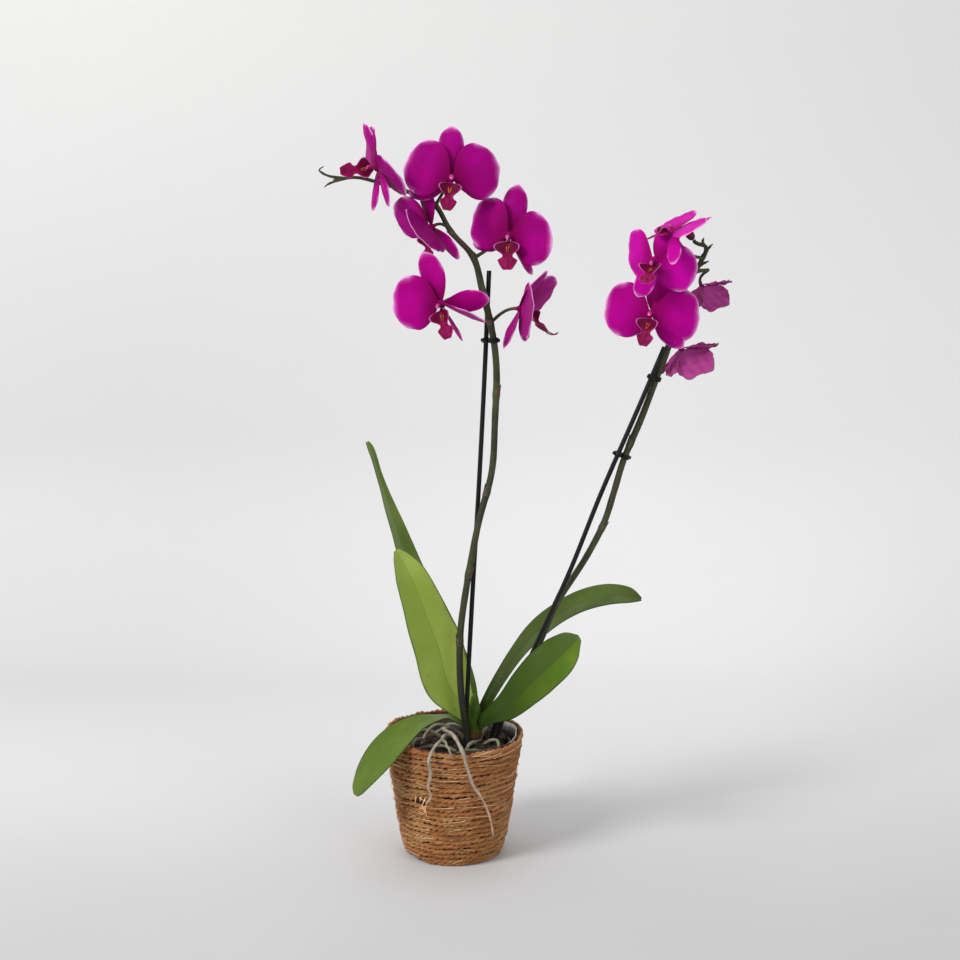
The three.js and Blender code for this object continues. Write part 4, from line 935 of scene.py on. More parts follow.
# Leaves: x, y, z and half width along the midrib, the way the upper face looks, and how far it folds
leaves = {
    "tall": {
        "rib": [(19, 16, 134, 7), (16.5, 20, 158, 9.5), (4.5, 22, 190, 13), (-15.5, 25, 228, 15.5),
                (-35, 30, 263, 16), (-50.5, 35, 300, 15), (-57, 37.5, 320, 12.8), (-64.5, 40, 342, 9.5),
                (-70, 41.5, 360, 6.2), (-75.5, 42.5, 377, 5), (-79.5, 43.5, 391, 5.2), (-83, 44.2, 401, 4.8),
                (-86, 45, 408, 2)],
        "faces": (0.8, -0.52, 0.28), "fold": 0.22, "wave": 0.5, "seed": 1,
    },
    "wide": {
        "rib": [(17, 8, 132, 6), (6, 6.5, 151, 16), (-6.5, 4, 173, 24.5), (-15.5, 2, 209, 25.5), (-24, -1, 233, 23.5),
                (-32, -4, 257, 20), (-43, -7, 285, 15.5), (-52, -9, 303, 7.5), (-55, -10, 309, 3)],
        "faces": (0.3, -0.93, 0.2), "fold": 0.16, "wave": 0.7, "seed": 2,
    },
    "drooping": {
        "rib": [(16, 9, 126, 4), (7, 9, 130, 4.2), (-5, 3, 136, 5.5), (-20, -13, 140, 9), (-38, -29, 138, 15),
                (-54, -42, 128, 19.5), (-69, -52, 113, 20), (-82, -58, 97, 16), (-91, -61, 83, 9),
                (-93.5, -62, 78, 3)],
        "faces": (-0.4, -0.5, 0.77), "fold": 0.14, "wave": 0.5, "seed": 3,
    },
    "arching": {
        "rib": [(26, 13, 132, 6), (34, 18, 148, 7), (48, 26, 171, 8.5), (65, 34, 194, 11), (85, 41, 215, 14.5),
                (106, 46, 230.5, 16), (130, 49, 242.5, 17.5), (156, 50, 249, 17), (178, 50, 249, 12.5),
                (190, 50, 246, 3)],
        "faces": (-0.3, -0.42, 0.85), "fold": 0.2, "wave": 0.5, "seed": 4,
    },
    "low": {
        "rib": [(25, 3, 130, 7), (38, -5, 141, 9.5), (55.5, -14, 154.5, 16.5), (73.5, -22, 175, 21.5),
                (90, -28, 193, 24), (104, -33, 207.5, 23), (116, -36, 221, 15.5), (123, -38, 228, 4)],
        "faces": (-0.45, -0.72, 0.52), "fold": 0.12, "wave": 0.6, "seed": 5,
    },
}
leafBuild = {"rows": 84, "columns": 25, "thickness": 2.0, "marginThickness": 0.7, "ribDepth": 0.9,
             "ribWidth": 0.07, "ribThickness": 0.8}


def makeLeaf(name, leaf):
    draw = random.Random(leaf["seed"])
    rows, columns = leafBuild["rows"], leafBuild["columns"]
    rib, faces = np.array(leaf["rib"], float), np.array(leaf["faces"], float)
    midrib = curvePath(rib[:, :3], rows)
    widths = curvePath(np.stack([rib[:, 3]] * 2, axis=1), rows, False)[:, :1]
    tangents = unit(np.gradient(midrib, axis=0))
    out = unit(faces - tangents * (tangents @ faces)[:, None])
    across = np.cross(out, tangents)
    u, v = np.linspace(0, 1, rows)[:, None], np.linspace(-1, 1, columns)[None, :]
    swell = wander(draw, rows, 5, leaf["wave"])[:, None] * v ** 2
    swell = (swell + wander(draw, rows, 6, leaf["wave"])[:, None] * v) * np.clip(u * 4, 0, 1)
    channel = -leafBuild["ribDepth"] * hill(v, leafBuild["ribWidth"]) * np.clip(1.2 - u, 0, 1)
    lift = leaf["fold"] * widths * np.abs(v) ** 1.6 + swell + channel * 0.5
    points = midrib[:, None, :] + across[:, None, :] * (v * widths)[:, :, None] + out[:, None, :] * lift[:, :, None]
    edge = np.maximum(np.abs(v), u ** 14)
    margin = leafBuild["marginThickness"]
    thick = margin + (leafBuild["thickness"] - margin) * (1 - edge ** 3)
    thick = thick + leafBuild["ribThickness"] * hill(v, 0.09) * (1 - u)
    part = sheetPart(points.reshape(-1, 3), rows, columns, thick.ravel(), edge.ravel(),
                     np.repeat(u, columns), np.tile(v.ravel(), rows))
    makePiece(name + "Leaf", [part], [leafPaint[name]], "leaf_" + name)


for leafName, leafValues in leaves.items():
    makeLeaf(leafName, leafValues)
print("leaves grown")

# Flower spikes: x, y, z along each from its foot in the bark, and each twig's start, course and radius
spikes = {
    "left": {
        "points": [(14, -9, 80), (14, -9, 115), (7.5, -9, 170), (7, -9, 222), (12.5, -8, 267), (25, -7, 335),
                   (38, -4, 386), (41, -3, 436), (42.5, -2, 480), (40.5, -2, 507), (35.8, -3, 532), (28.5, -3, 562),
                   (20, -1, 592), (-1, 0, 616), (-16, -2, 641), (-29, 2, 648), (-46, 10, 655), (-66, 14, 661),
                   (-92, 8, 667), (-113, 4, 664)],
        "footRadius": 3.3, "tipRadius": 1.4, "slimFrom": 0.72, "nodes": [0.2, 0.3, 0.42, 0.56],
        "twigs": [
            (0.985, [(-119, 3, 669), (-126, 2, 674), (-122, 2, 677)], 1.9),
            (0.985, [(-117, 2, 661), (-121, 0, 658)], 1.7),
        ],
    },
    "right": {
        "points": [(35, 14, 80), (42, 13, 124), (84, 9, 208), (102, 8, 251), (131, 5.5, 299), (148, 3, 334),
                   (157, 1, 364), (166, 0, 396), (182.5, -1, 437), (197.5, -2, 479), (207, 0, 504), (217.5, 5, 540),
                   (224, 1, 566), (231.5, -6, 578.5), (236.5, -13, 590), (239.5, -18, 598), (238.5, -20.5, 603),
                   (233.5, -21, 604.5), (229, -21, 606.5), (227.5, -21, 608.5)],
        "footRadius": 3.2, "tipRadius": 1.8, "slimFrom": 0.78, "nodes": [0.32, 0.47, 0.62],
        "twigs": [
            (0.966, [(241.5, -19.5, 600.5), (245.5, -20, 604.8)], 2.2),
            (0.94, [(238.5, -12, 586.5), (243, -14, 588.7)], 2.2),
            (0.983, [(236, -21, 607), (237, -21.5, 610.5)], 2),
        ],
    },
}
spikeBuild = {"steps": 260, "sides": 18, "nodeSwell": 0.55, "jointSwell": 0.5, "seed": 31}
stalk = {"radius": 1.7, "taper": 0.35, "footSwell": 0.7, "headSwell": 0.5, "flutes": 6, "fluteDepth": 0.05}
bract = {"rows": 18, "columns": 15, "wrap": 2.3, "thickness": 0.7, "thinning": 0.3, "nodeLength": 3.6,
         "stalkLength": 2.4}

# Blooms: where each stalk leaves its spike, the bloom's centre, facing and size, and what sets it apart. The tepals
# are the dorsal sepal, the right and left petals and the low right and left sepals: angle, tilt forward and twist.
plainBloom = {"lipDrop": 0, "lipSpread": 1, "lipRoll": 0, "lipReach": 1, "whisker": 0, "bow": (0, 0, 1)}
blooms = {
    "a": {
        "spike": "left", "joint": 0.928, "centre": (-71, -8, 676), "faces": (-0.95, -0.3, -0.05), "size": 0.92,
        "lipRoll": -75, "lipReach": 1.15,
        "tepals": [(118, 12, 0), (-24, -20, 30), (135, 2, 0), (-62, 0, 0), (-104, 13, 0)],
    },
    "b": {
        "spike": "left", "joint": 0.845, "centre": (0, -27, 666), "faces": (0, -1, 0), "size": 0.97,
        "lipDrop": 62, "lipRoll": -8,
        "tepals": [(91, -10, 0), (14, -3, 0), (158, -3, 0), (-16, -20, 0), (-158, -8, 0)],
    },
    "c": {
        "spike": "left", "joint": 0.803, "centre": (-20, -10, 620), "faces": (-0.6, -0.5, -0.38), "size": 0.9,
        "lipDrop": 58, "whisker": 6,
        "tepals": [(97, -13, 0), (28, 58, 0), (146, 14, 0), (-50, 8, 0), (-122, -14, 0)],
    },
    "d": {
        "spike": "left", "joint": 0.756, "centre": (54, -24, 613), "faces": (-0.22, -0.95, -0.2), "size": 0.95,
        "lipDrop": 62, "lipSpread": 1.2, "bow": (0, 4, -3),
        "tepals": [(82, -24, 8), (-4, 18, 0), (156, -20, 0), (-66, 4, 50), (-160, -14, 0)],
    },
    "e": {
        "spike": "left", "joint": 0.7, "centre": (-10, -26, 549), "faces": (-0.35, -0.9, -0.25), "size": 1,
        "lipDrop": 60, "lipRoll": 20, "look": "leftPale",
        "tepals": [(108, -4, 0), (-18, 12, 61), (175, 14, 0), (-2, -22, 0), (-80, -16, 55)],
    },
    "f": {
        "spike": "left", "joint": 0.662, "centre": (66, -4, 543), "faces": (0.86, -0.46, -0.05), "size": 0.96,
        "lipDrop": 27, "lipSpread": 1.1, "whisker": 12, "bow": (0, 0, -4),
        "tepals": [(98, 42, 0), (36, 30, 25), (178, 45, 0), (-48, 0, 0), (-118, 0, -50)],
    },
    "g": {
        "spike": "right", "joint": 0.85, "centre": (190.5, -10, 539), "faces": (-0.36, -0.93, -0.05), "size": 0.98,
        "lipDrop": 58, "lipRoll": -8,
        "tepals": [(84, -32, 0), (-7, -18, 0), (172, 10, 0), (-52, -8, 0), (-150, -8, 0)],
    },
    "h": {
        "spike": "right", "joint": 0.888, "centre": (191, -22, 590), "faces": (-0.45, -0.82, -0.36), "size": 0.9,
        "lipDrop": 12, "lipSpread": 1.15, "look": "rightPale",
        "tepals": [(66, -48, 0), (-22, -2, 0), (176, -29, 6), (-66, -8, 0), (-118, 22, 0)],
    },
    "i": {
        "spike": "right", "joint": 0.956, "centre": (206, -40, 616), "faces": (-0.5, -0.1, 0.86), "size": 0.75,
        "lipDrop": 75, "look": "rightPale",
        "tepals": [(74, -2, 0), (38, -4, 0), (140, 12, 0), (-44, -34, 0), (-175, 20, 0)],
    },
    "j": {
        "spike": "right", "joint": 0.927, "centre": (241, 17, 563), "faces": (0.45, 0.2, -0.87), "size": 0.64,
        "lipDrop": 10, "lipSpread": 0.6, "bow": (28, 4, 3), "look": "wilted",
        "tepals": [(90, 28, 0), (12, 58, 0), (168, 58, 0), (-58, 28, 0), (-122, 28, 0)],
    },
    "k": {
        "spike": "right", "joint": 0.8, "centre": (222, 14, 502), "faces": (0.5, 0.1, -0.85), "size": 0.76,
        "lipDrop": 10, "lipSpread": 0.6, "whisker": 6, "look": "wilted",
        "tepals": [(90, 30, 0), (14, 56, 0), (166, 56, 0), (-60, 30, 0), (-120, 30, 0)],
    },
}
blooms = {letter: {**plainBloom, **bloom} for letter, bloom in blooms.items()}
wilt = {"ruffle": 2.6, "fold": 1.3, "crumple": 0.6, "ragged": 0.045}
tepalForms = {
    "petal": {"length": 47, "breadth": 55, "claw": 0.65, "clawSharpness": 7, "cup": 0, "arch": -1.5, "rows": 38,
              "columns": 34, "ruffle": 0.6, "ruffles": 4, "reflex": 1.2, "point": 0, "layer": 1},
    "dorsal": {"length": 51, "breadth": 27, "claw": 0.5, "clawSharpness": 3, "cup": -1.5, "arch": -2, "rows": 38,
               "columns": 17, "ruffle": 0.3, "ruffles": 3, "reflex": 0.8, "point": 0.1, "layer": -1.8},
    "lateral": {"length": 45, "breadth": 23, "claw": 0.5, "clawSharpness": 3, "cup": -1.5, "arch": -3, "rows": 36,
                "columns": 17, "ruffle": 0.3, "ruffles": 3, "reflex": 0.8, "point": 0.14, "layer": -1.8},
}
tepalOrder = (("dorsal", 0), ("lateral", 3), ("lateral", 4), ("petal", 1), ("petal", 2))
petalSheet = {"thickness": 0.8, "edgeThickness": 0.45, "raggedness": 0.012, "swell": 0.9, "rib": 0.06,
              "ribs": 26}
hub = {
    "back": -4, "inset": 2,
    "profile": [(0.1, -4), (2.55, -4), (3, -3.4), (4, -1), (4.3, 0.4), (3.9, 1.5), (2.6, 2.2), (0.1, 2.4)],
}


def bloomBasis(bloom):
    forward = unit(np.array(bloom["faces"], float))
    right = unit(np.cross([0, 0, 1], forward))
    return np.stack([right, np.cross(forward, right), forward])


def intoPlace(bloom, points):
    return (points * bloom["size"]) @ bloomBasis(bloom) + np.array(bloom["centre"], float)


def tepalPart(form, pose, draw, ruffle, wilted):
    rows, columns = form["rows"], form["columns"]
    u, v = sheetGrid(rows, columns)
    s = 2 * u - 1
    reach = (s * np.sqrt(1 - v * v / 2) + 1) / 2
    side = v * np.sqrt(1 - s * s / 2) * (1 - form["claw"] * (1 - reach) ** form["clawSharpness"])
    side = side * (1 - form["point"] * np.clip(reach, 0, 1) ** 6)
    rim = np.maximum(np.abs(s), np.abs(v))
    away = np.clip(reach * 1.6, 0, 1)
    turn = np.arctan2(v, s + 1e-6)
    phase = draw.uniform(0, 6)
    wave = np.sin(form["ruffles"] * turn + phase) + 0.5 * np.sin((form["ruffles"] * 2 + 1) * turn + phase * 2)
    lift = form["cup"] * side ** 2 + form["arch"] * reach ** 2
    lift += form["ruffle"] * ruffle * wave * np.clip((rim - 0.35) / 0.65, 0, 1) ** 2 * away
    lift -= form["reflex"] * rim ** 6 * away
    lift += petalSheet["swell"] * hill(side, 0.5) * np.sin(np.clip(reach, 0, 1) * math.pi) - 0.45
    lift += petalSheet["rib"] * np.cos(side * petalSheet["ribs"]) * away
    if wilted:
        folds = np.sin(side * 13 + phase) + 0.8 * np.sin(reach * 17 + side * 6)
        lift += (wilt["fold"] * folds + wilt["crumple"] * np.sin(side * 27 + reach * 21 + phase)) * away
    scallop = 1 + (wilt["ragged"] if wilted else petalSheet["raggedness"]) * wave * rim ** 4
    length = form["length"] - hub["inset"]
    points = np.stack([reach * length * scallop, side * form["breadth"] / 2 * scallop, lift], axis=1)
    angle, tilt, twist = pose
    points = turnPoints(turnPoints(points, 0, twist), 1, -tilt)
    points[:, 0] += hub["inset"]
    points = turnPoints(points, 2, angle)
    points[:, 2] += form["layer"]
    thickness = petalSheet["thickness"] - (petalSheet["thickness"] - petalSheet["edgeThickness"]) * rim ** 3
    return sheetPart(points, rows, columns, thickness, rim * away, reach, side)


# Lip: half width and rise of its side lobes at shares of its length, then knobs in mirrored pairs
lip = {
    "length": 28, "rootY": -5.2, "rootZ": 4.7, "rootRadius": 2.3, "rows": 56, "columns": 27, "sag": 2,
    "keel": 0.8, "curl": 0.2, "thickness": 1.1, "thinning": 0.5, "whiskerRadii": (0.75, 0.4),
    "stations": [0, 0.08, 0.167, 0.25, 0.333, 0.4, 0.46, 0.52, 0.58, 0.63, 0.667, 0.75, 0.833, 0.92, 0.97, 1],
    "halfWidths": [3, 7.6, 10.4, 10.9, 10.3, 7.6, 4.8, 4.0, 5.0, 7.6, 8.6, 7.7, 6.6, 5.2, 4.2, 3.4],
    "lobeRise": [1.5, 5, 7.5, 8.2, 7.4, 4.6, 2.2, 1.2, 0.8, 0.7, 0.6, 0.2, 0, 0, 0, 0],
    "whisker": [(1.6, 0, -0.06), (3, 0, 0.35), (3, 0.15, 0.8), (1.6, 0.45, 0.95)],
    "knobs": [((1.2, 0.8, 6.6), (0.95, 1.4, 2.3)), ((0.8, 1.3, 9.4), (0.7, 1.0, 1.8))],
}


def knobPart(centre, radii, paintIndex):
    rings = ballRings(10, 16, 0.03) * np.array(radii) + np.array(centre)
    return ringsPart(rings, np.linspace(0.03, math.pi - 0.03, 10), paintIndex)


def lipParts(bloom, draw):
    rows, columns, sag = lip["rows"], lip["columns"], lip["sag"]
    u, v = sheetGrid(rows, columns)
    curves = []
    for name in ("halfWidths", "lobeRise"):
        curve = np.interp(np.linspace(0, 1, rows), lip["stations"], lip[name])
        for _ in range(2):
            curve[1:-1] = np.convolve(curve, [0.25, 0.5, 0.25], "valid")
        curves.append(np.repeat(curve, columns))
    half, rise = curves
    keel = lip["keel"] * hill(v, 0.14) * np.clip((u - 0.3) * 5, 0, 1)
    curl = np.sin(v * 9 + draw.uniform(0, 6)) * lip["curl"] * np.abs(v)
    height = -sag * u * u + rise * np.abs(v) ** 1.6 + keel + curl
    points = np.stack([v * half * bloom["lipSpread"], height, u * lip["length"] * bloom["lipReach"]], axis=1)
    rim = np.maximum(np.abs(v), np.abs(2 * u - 1) ** 3)
    parts = [sheetPart(points, rows, columns, lip["thickness"] - lip["thinning"] * rim ** 2, rim, u, v)]
    long = bloom["whisker"]
    for mirror in (-1, 1):
        if long:
            bend = [(mirror * x, y * long - sag, lip["length"] + z * long) for x, y, z in lip["whisker"]]
            parts.append(tubePart(spacedPath(bend, 20), np.linspace(*lip["whiskerRadii"], 20), 8, rounded=True))
        parts += [knobPart((mirror * x, y, z), radii, 1) for (x, y, z), radii in lip["knobs"]]
    for part in parts:
        part["points"] = turnPoints(part["points"], 0, bloom["lipDrop"])
    parts.append(knobPart((0, 0, 0), (lip["rootRadius"],) * 3, 0))
    for part in parts:
        points = turnPoints(part["points"] + np.array([0, lip["rootY"], lip["rootZ"]]), 2, bloom["lipRoll"])
        part["points"] = intoPlace(bloom, points)
    return parts


# Column: height, forward, half width and half depth of its sections
column = {
    "sections": [(2.7, 0.2, 1.8, 1.9), (4, 0.4, 1.7, 1.9), (5.5, 0.7, 1.9, 2.1), (7.4, 0.9, 2.3, 2.4),
                 (8.8, 0.9, 2.6, 2.6), (9.8, 0.6, 2.4, 2.4), (10.6, 0.1, 1.8, 1.9), (11, -0.3, 0.9, 1.1)],
    "sides": 22, "slim": 0.8, "hollow": 1.1, "hollowAt": 8, "cap": 0.2, "capAt": 9.9,
}


def columnPart(bloom):
    turn = circle(column["sides"])
    sections = np.array(column["sections"])
    heights = np.linspace(sections[0][0], sections[-1][0], 26)
    rings = []
    for height in heights:
        y, wide, deep = (np.interp(height, sections[:, 0], sections[:, k]) for k in (1, 2, 3))
        hollow = column["hollow"] * hill(height - column["hollowAt"], 1.4) * np.clip(-np.sin(turn), 0, 1) ** 3
        cap = column["cap"] * hill(height - column["capAt"], 0.6)
        rings.append(ringAt(np.cos(turn) * (wide + cap) * column["slim"],
                            y + np.sin(turn) * (deep + cap - hollow) * column["slim"], height))
    part = ringsPart(np.array(rings), heights)
    part["points"] = intoPlace(bloom, part["points"])
    return part


def makeBloom(letter, bloom):
    draw = random.Random("bloom" + letter)
    name, node = "bloom" + letter.upper(), "bloom_" + letter
    look = bloom.get("look", bloom["spike"])
    wilted = look == "wilted"
    ruffle = wilt["ruffle"] if wilted else draw.uniform(0.8, 1.15)
    middle = turnedPart(hub["profile"], 24)
    middle["grow"] = middle["grow"] * 0 + np.array([0, 0, 1])
    parts = [middle]
    for form, index in tepalOrder:
        parts.append(tepalPart(tepalForms[form], bloom["tepals"][index], draw, ruffle, wilted))
    for part in parts:
        part["points"] = intoPlace(bloom, part["points"])
    makePiece(name + "Tepals", parts, [petalPaint[look]], node + "_tepals")
    makePiece(name + "Lip", lipParts(bloom, draw), [paint["lipSkin"], paint["lipCallus"]], node + "_lip")
    makePiece(name + "Column", [columnPart(bloom)], [paint["columnSkin"]], node + "_column")


for bloomLetter, bloomValues in blooms.items():
    makeBloom(bloomLetter, bloomValues)
print("blooms opened")


def spikeRadius(spike, share):
    slim = np.maximum(0, (share - spike["slimFrom"]) / (1 - spike["slimFrom"]))
    return spike["footRadius"] + (spike["tipRadius"] - spike["footRadius"]) * slim ** 0.8


def stalkPart(spike, bloom):
    # A bloom's own stalk, straight into the back of the bloom
    start = spacedPath(spike["points"], 401)[int(round(bloom["joint"] * 400))]
    back = hub["back"] * bloom["size"]
    basis, centre = bloomBasis(bloom), np.array(bloom["centre"], float)
    end = centre + basis[2] * back
    reach = float(np.linalg.norm(end - start))
    before = centre + basis[2] * (back - reach * 0.55)
    after = start + (before - start) * 0.4 + np.array(bloom["bow"], float)
    t = np.linspace(0, 1, 30)[:, None]
    path = start * (1 - t) ** 3 + 3 * after * t * (1 - t) ** 2 + 3 * before * t * t * (1 - t) + end * t ** 3
    t = t.ravel()
    radii = stalk["radius"] - stalk["taper"] * t
    radii = radii + stalk["footSwell"] * hill(t, 0.08) + stalk["headSwell"] * hill(t - 1, 0.08)
    return tubePart(path, radii, 12, 0, t ** 1.5 * 0.9, stalk["flutes"], stalk["fluteDepth"])


def bractPart(path, share, radius, turn, size):
    # A pointed scale leaf that wraps the stem at a node
    index = int(share * (len(path) - 1))
    tangents, normals, sideways = crossFrames(path)
    rows, columns = bract["rows"], bract["columns"]
    u, v = sheetGrid(rows, columns)
    wrap = v * (1 - u ** 1.6) * bract["wrap"] + turn
    stand = radius * (1.05 + 0.2 * u ** 2)
    out = np.cos(wrap)[:, None] * normals[index] + np.sin(wrap)[:, None] * sideways[index]
    points = path[index] + tangents[index] * ((u - 0.12) * radius * size)[:, None] + out * stand[:, None]
    rim = np.maximum(np.abs(v), u ** 4)
    return sheetPart(points, rows, columns, bract["thickness"] - bract["thinning"] * rim ** 2, rim, u * 12, v, 1)


def makeSpike(name, spike):
    draw = random.Random(spikeBuild["seed"] + len(name))
    steps = spikeBuild["steps"]
    path = spacedPath(spike["points"], steps)
    share = np.linspace(0, 1, steps)
    radii = spikeRadius(spike, share) * (1 + wander(draw, steps, 60, 0.03))
    blush = np.zeros(steps)
    carried = [bloom for bloom in blooms.values() if bloom["spike"] == name]
    joints = [bloom["joint"] for bloom in carried]
    for node in spike["nodes"]:
        radii += spikeBuild["nodeSwell"] * hill(share - node, 0.006)
        blush += 0.35 * hill(share - node, 0.012)
    for joint in joints:
        radii += spikeBuild["jointSwell"] * hill(share - joint, 0.008)
    parts = [tubePart(path, radii, spikeBuild["sides"], 0, np.clip(blush, 0, 1))]
    scales = (spike["nodes"], 1.4, math.pi, bract["nodeLength"]), (joints, 3.6, 2.2, bract["stalkLength"])
    for places, turn, step, size in scales:
        for i, spot in enumerate(places):
            parts.append(bractPart(path, spot, float(spikeRadius(spike, spot)), turn + i * step, size))
    parts += [stalkPart(spike, bloom) for bloom in carried]
    for begin, points, radius in spike["twigs"]:
        start = path[int(begin * (steps - 1))]
        twig = spacedPath([start, *[np.array(point, float) for point in points]], 18)
        swell = radius + (0.5 - radius) * np.linspace(0, 1, 18) + 0.35 * hill(np.linspace(-0.7, 0.3, 18), 0.1)
        parts.append(tubePart(twig, swell, 10, 0, 0.3, rounded=True))
    makePiece(name + "FlowerSpike", parts, [paint["stemSkin"], paint["dryBract"]], "spike_" + name)


for spikeName, spikeValues in spikes.items():
    makeSpike(spikeName, spikeValues)

# Bud: the last one, dried, at the tip of the right spike
bud = {"length": 13, "breadth": 8.6, "gap": 0.3}


def makeBud():
    path = curvePath(spikes["right"]["points"], 400)
    ahead = unit(path[-1] - path[-2])
    start = path[-1] + ahead * bud["gap"]
    share = np.linspace(0, 1, 30)
    radii = bud["breadth"] / 2 * np.sqrt(np.clip(1 - (2 * share - 1) ** 2, 0.001, 1)) * (1 - 0.12 * share)
    line = start + ahead * (share * bud["length"])[:, None]
    makePiece("lastBud", [tubePart(line, radii, 24, 0, 0, 3, 0.07)], [paint["budSkin"]], "bud")


makeBud()
print("spikes grown")

# Stakes: slim rods beside the spikes
stakes = {
    "left": [(10, 0, 40), (13, 0, 140), (19.5, 1, 270), (25.5, 2, 372), (30.5, 3.5, 470), (35.2, 5.5, 579)],
    "right": [(18, 0, 62), (42, 0, 118), (82, 0, 212), (114, -2, 285), (145, -4, 366), (180, -6, 450),
              (203, -9, 507)],
}
stakeBuild = {"radius": 2.3, "bevel": 0.35, "pointRadius": 0.9}


def makeStake(name, points):
    radius, bevel = stakeBuild["radius"], stakeBuild["bevel"]
    path = spacedPath(points, 90)
    path[-2] = path[-1] - unit(path[-1] - path[-2]) * bevel
    radii = np.full(90, radius)
    radii[-1] = radius - bevel
    radii[:6] = np.linspace(stakeBuild["pointRadius"], radius, 6)
    part = tubePart(path, radii, 24)
    makePiece(name + "Stake", [part], [paint["blackPlastic"]], "stake_" + name)


for stakeName, stakePoints in stakes.items():
    makeStake(stakeName, stakePoints)

# Clips: two joined rings, one round the stake and one round the spike, with finger ears
clips = {"left": ("left", 512), "right_low": ("right", 403), "right_high": ("right", 478)}
clipBand = {"width": 4.5, "thickness": 1.0, "clearance": 0.7, "web": 2.4, "ear": 2.5, "earWidth": 1.6,
            "earHeight": 3.2}


def atHeight(path, height):
    index = int(np.argmin(np.abs(path[:, 2] - height)))
    return path[index], unit(path[index + 1] - path[index - 1]), index / (len(path) - 1)


def bandPart(centre, inner):
    # A ring with softened edges, about local Z
    outer, half, soft = inner + clipBand["thickness"], clipBand["width"] / 2, 0.25
    section = [(inner, -half + soft), (inner + soft, -half), (outer - soft, -half), (outer, -half + soft),
               (outer, half - soft), (outer - soft, half), (inner + soft, half), (inner, half - soft)]
    rings = np.array([[(math.cos(a) * r + centre, math.sin(a) * r, z) for r, z in section] for a in circle(40)])
    faces = gridFaces(40, len(section), True).tolist()
    last = 39 * len(section)
    for i in range(len(section)):
        after = (i + 1) % len(section)
        faces.append([last + i, i, after, last + after])
    points = rings.reshape(-1, 3)
    return {"points": points, "faces": faces, "grow": np.zeros_like(points), "rim": np.zeros(len(points)), "paint": 0}


def barPart(start, end, width, height):
    # A flat bar along local X with rounded sides
    turn = circle(16)
    y = np.sign(np.cos(turn)) * np.abs(np.cos(turn)) ** 0.4 * width / 2
    z = np.sign(np.sin(turn)) * np.abs(np.sin(turn)) ** 0.4 * height / 2
    stations = [(0, 0.8), (0.08, 1), (0.92, 1), (1, 0.8)]
    rings = [np.stack([y * 0 + start + (end - start) * s, y * k, z * k], axis=1) for s, k in stations]
    return ringsPart(np.array(rings), [s for s, _ in stations])


def makeClip(name, side, height):
    start, stakeAhead, _ = atHeight(spacedPath(stakes[side], 600), height)
    other, spikeAhead, share = atHeight(spacedPath(spikes[side]["points"], 600), height)
    axis = unit(stakeAhead + spikeAhead)
    toSpike = other - start
    toSpike = toSpike - axis * (toSpike @ axis)
    reach = float(np.linalg.norm(toSpike))
    across = toSpike / reach
    stakeRing = stakeBuild["radius"] + clipBand["clearance"]
    spikeRing = float(spikeRadius(spikes[side], share)) + clipBand["clearance"]
    parts = [bandPart(0, stakeRing), bandPart(reach, spikeRing)]
    for edge, way in ((-stakeRing - clipBand["thickness"], -1), (reach + spikeRing + clipBand["thickness"], 1)):
        ends = sorted((edge - way * 0.4, edge + way * clipBand["ear"]))
        parts.append(barPart(*ends, clipBand["earWidth"], clipBand["earHeight"]))
    if reach > stakeRing + spikeRing:
        parts.append(barPart(stakeRing + 0.2, reach - spikeRing - 0.2, clipBand["web"], clipBand["width"]))
    for part in parts:
        part["points"] = part["points"] @ np.stack([across, np.cross(axis, across), axis]) + start
    pieceName = "clip" + name.title().replace("_", "")
    makePiece(pieceName, parts, [paint["blackPlastic"]], "clip_" + name)


for clipName, (clipSide, clipHeight) in clips.items():
    makeClip(clipName, clipSide, clipHeight)
print("supports placed")

# Stage: a pale floor that sweeps up into a pale wall, and soft studio light
stage = {"front": -2600, "curveFrom": 620, "curveRadius": 300, "top": 2600, "halfWidth": 2600}
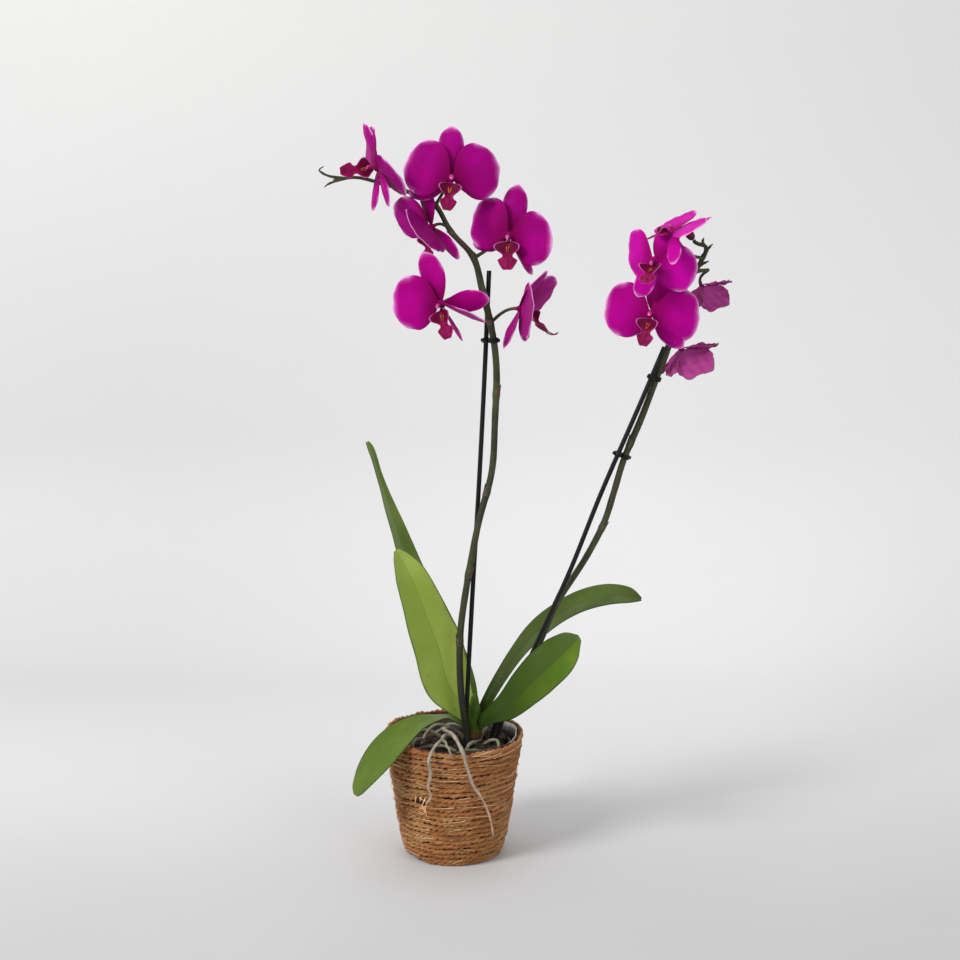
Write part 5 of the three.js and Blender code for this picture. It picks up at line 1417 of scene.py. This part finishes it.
# Painted light and shade on the sweep: darker at the front, brighter towards the back, a little darker at the back
# left and high up the wall
sweepFinish = {
    "masks": {"cloud": ("mottle", 2, 2), "back": ("Y", -0.5, 0.7), "high": ("Z", 0.2, 1),
              "left": (("X", 0.35, -0.5), ("Y", 0, 0.6))},
    "colour": [(189, 189, 191), ("back", 1, (236, 236, 237)), ("left", 1, (219, 219, 220)),
               ("high", 1, (226, 226, 225)), ("cloud", 0.15, (225, 225, 225))],
    "roughness": ("cloud", 0.6, 0.7),
}
lights = {
    "key": {"place": (-1700, -1500, 1900), "size": 1050, "power": 52, "tint": (1, 0.99, 0.975)},
    "fill": {"place": (1500, -1500, 1100), "size": 1500, "power": 9, "tint": (0.99, 0.99, 1)},
    "top": {"place": (0, 300, 2100), "size": 1300, "power": 4, "tint": (1, 1, 1)},
}
studio = {"aim": (0.05, 0, 0.35), "skyColour": (0.955, 0.955, 0.965, 1), "skyStrength": 0.5}


def makeStage():
    start, bend, wide = stage["curveFrom"], stage["curveRadius"], stage["halfWidth"]
    outline = [(stage["front"], 0), (start, 0)]
    for angle in np.linspace(0, math.pi / 2, 21)[1:]:
        outline.append((start + math.sin(angle) * bend, (1 - math.cos(angle)) * bend))
    outline.append((start + bend, stage["top"]))
    points = [(x * metre, y * metre, z * metre) for y, z in outline for x in (-wide, wide)]
    faces = [[2 * i, 2 * i + 1, 2 * i + 3, 2 * i + 2] for i in range(len(outline) - 1)]
    mesh = bpy.data.meshes.new("paleSweep")
    mesh.from_pydata(points, [], faces)
    mesh.polygons.foreach_set("use_smooth", [True] * len(faces))
    material = newMaterial("paleSweep", sweepFinish)
    # Clear from behind, so that a view from the back still shows the plant
    tree = material.node_tree
    facing = tree.nodes.new("ShaderNodeNewGeometry").outputs["Backfacing"]
    clear = tree.nodes.new("ShaderNodeBsdfTransparent").outputs[0]
    solid = tree.nodes["Principled BSDF"].outputs[0]
    pick = addNode(tree, "ShaderNodeMixShader", {0: facing, 1: solid, 2: clear}).outputs[0]
    tree.links.new(pick, tree.nodes["Material Output"].inputs["Surface"])
    mesh.materials.append(material)
    sweep = bpy.data.objects.new("paleSweep", mesh)
    bpy.context.collection.objects.link(sweep)


def makeLights():
    for name, light in lights.items():
        data = bpy.data.lights.new(name, "AREA")
        data.shape = "DISK"
        data.size = light["size"] * metre
        data.energy = light["power"]
        data.color = light["tint"]
        lamp = bpy.data.objects.new(name, data)
        lamp.location = Vector(light["place"]) * metre
        lamp.rotation_euler = (Vector(studio["aim"]) - lamp.location).to_track_quat("-Z", "Y").to_euler()
        bpy.context.collection.objects.link(lamp)
    world = bpy.data.worlds.new("studio")
    world.use_nodes = True
    sky = world.node_tree.nodes["Background"].inputs
    sky["Color"].default_value = studio["skyColour"]
    sky["Strength"].default_value = studio["skyStrength"]
    bpy.context.scene.world = world
    bpy.context.scene.view_settings.view_transform = "Standard"


makeStage()
makeLights()
print("stage set")
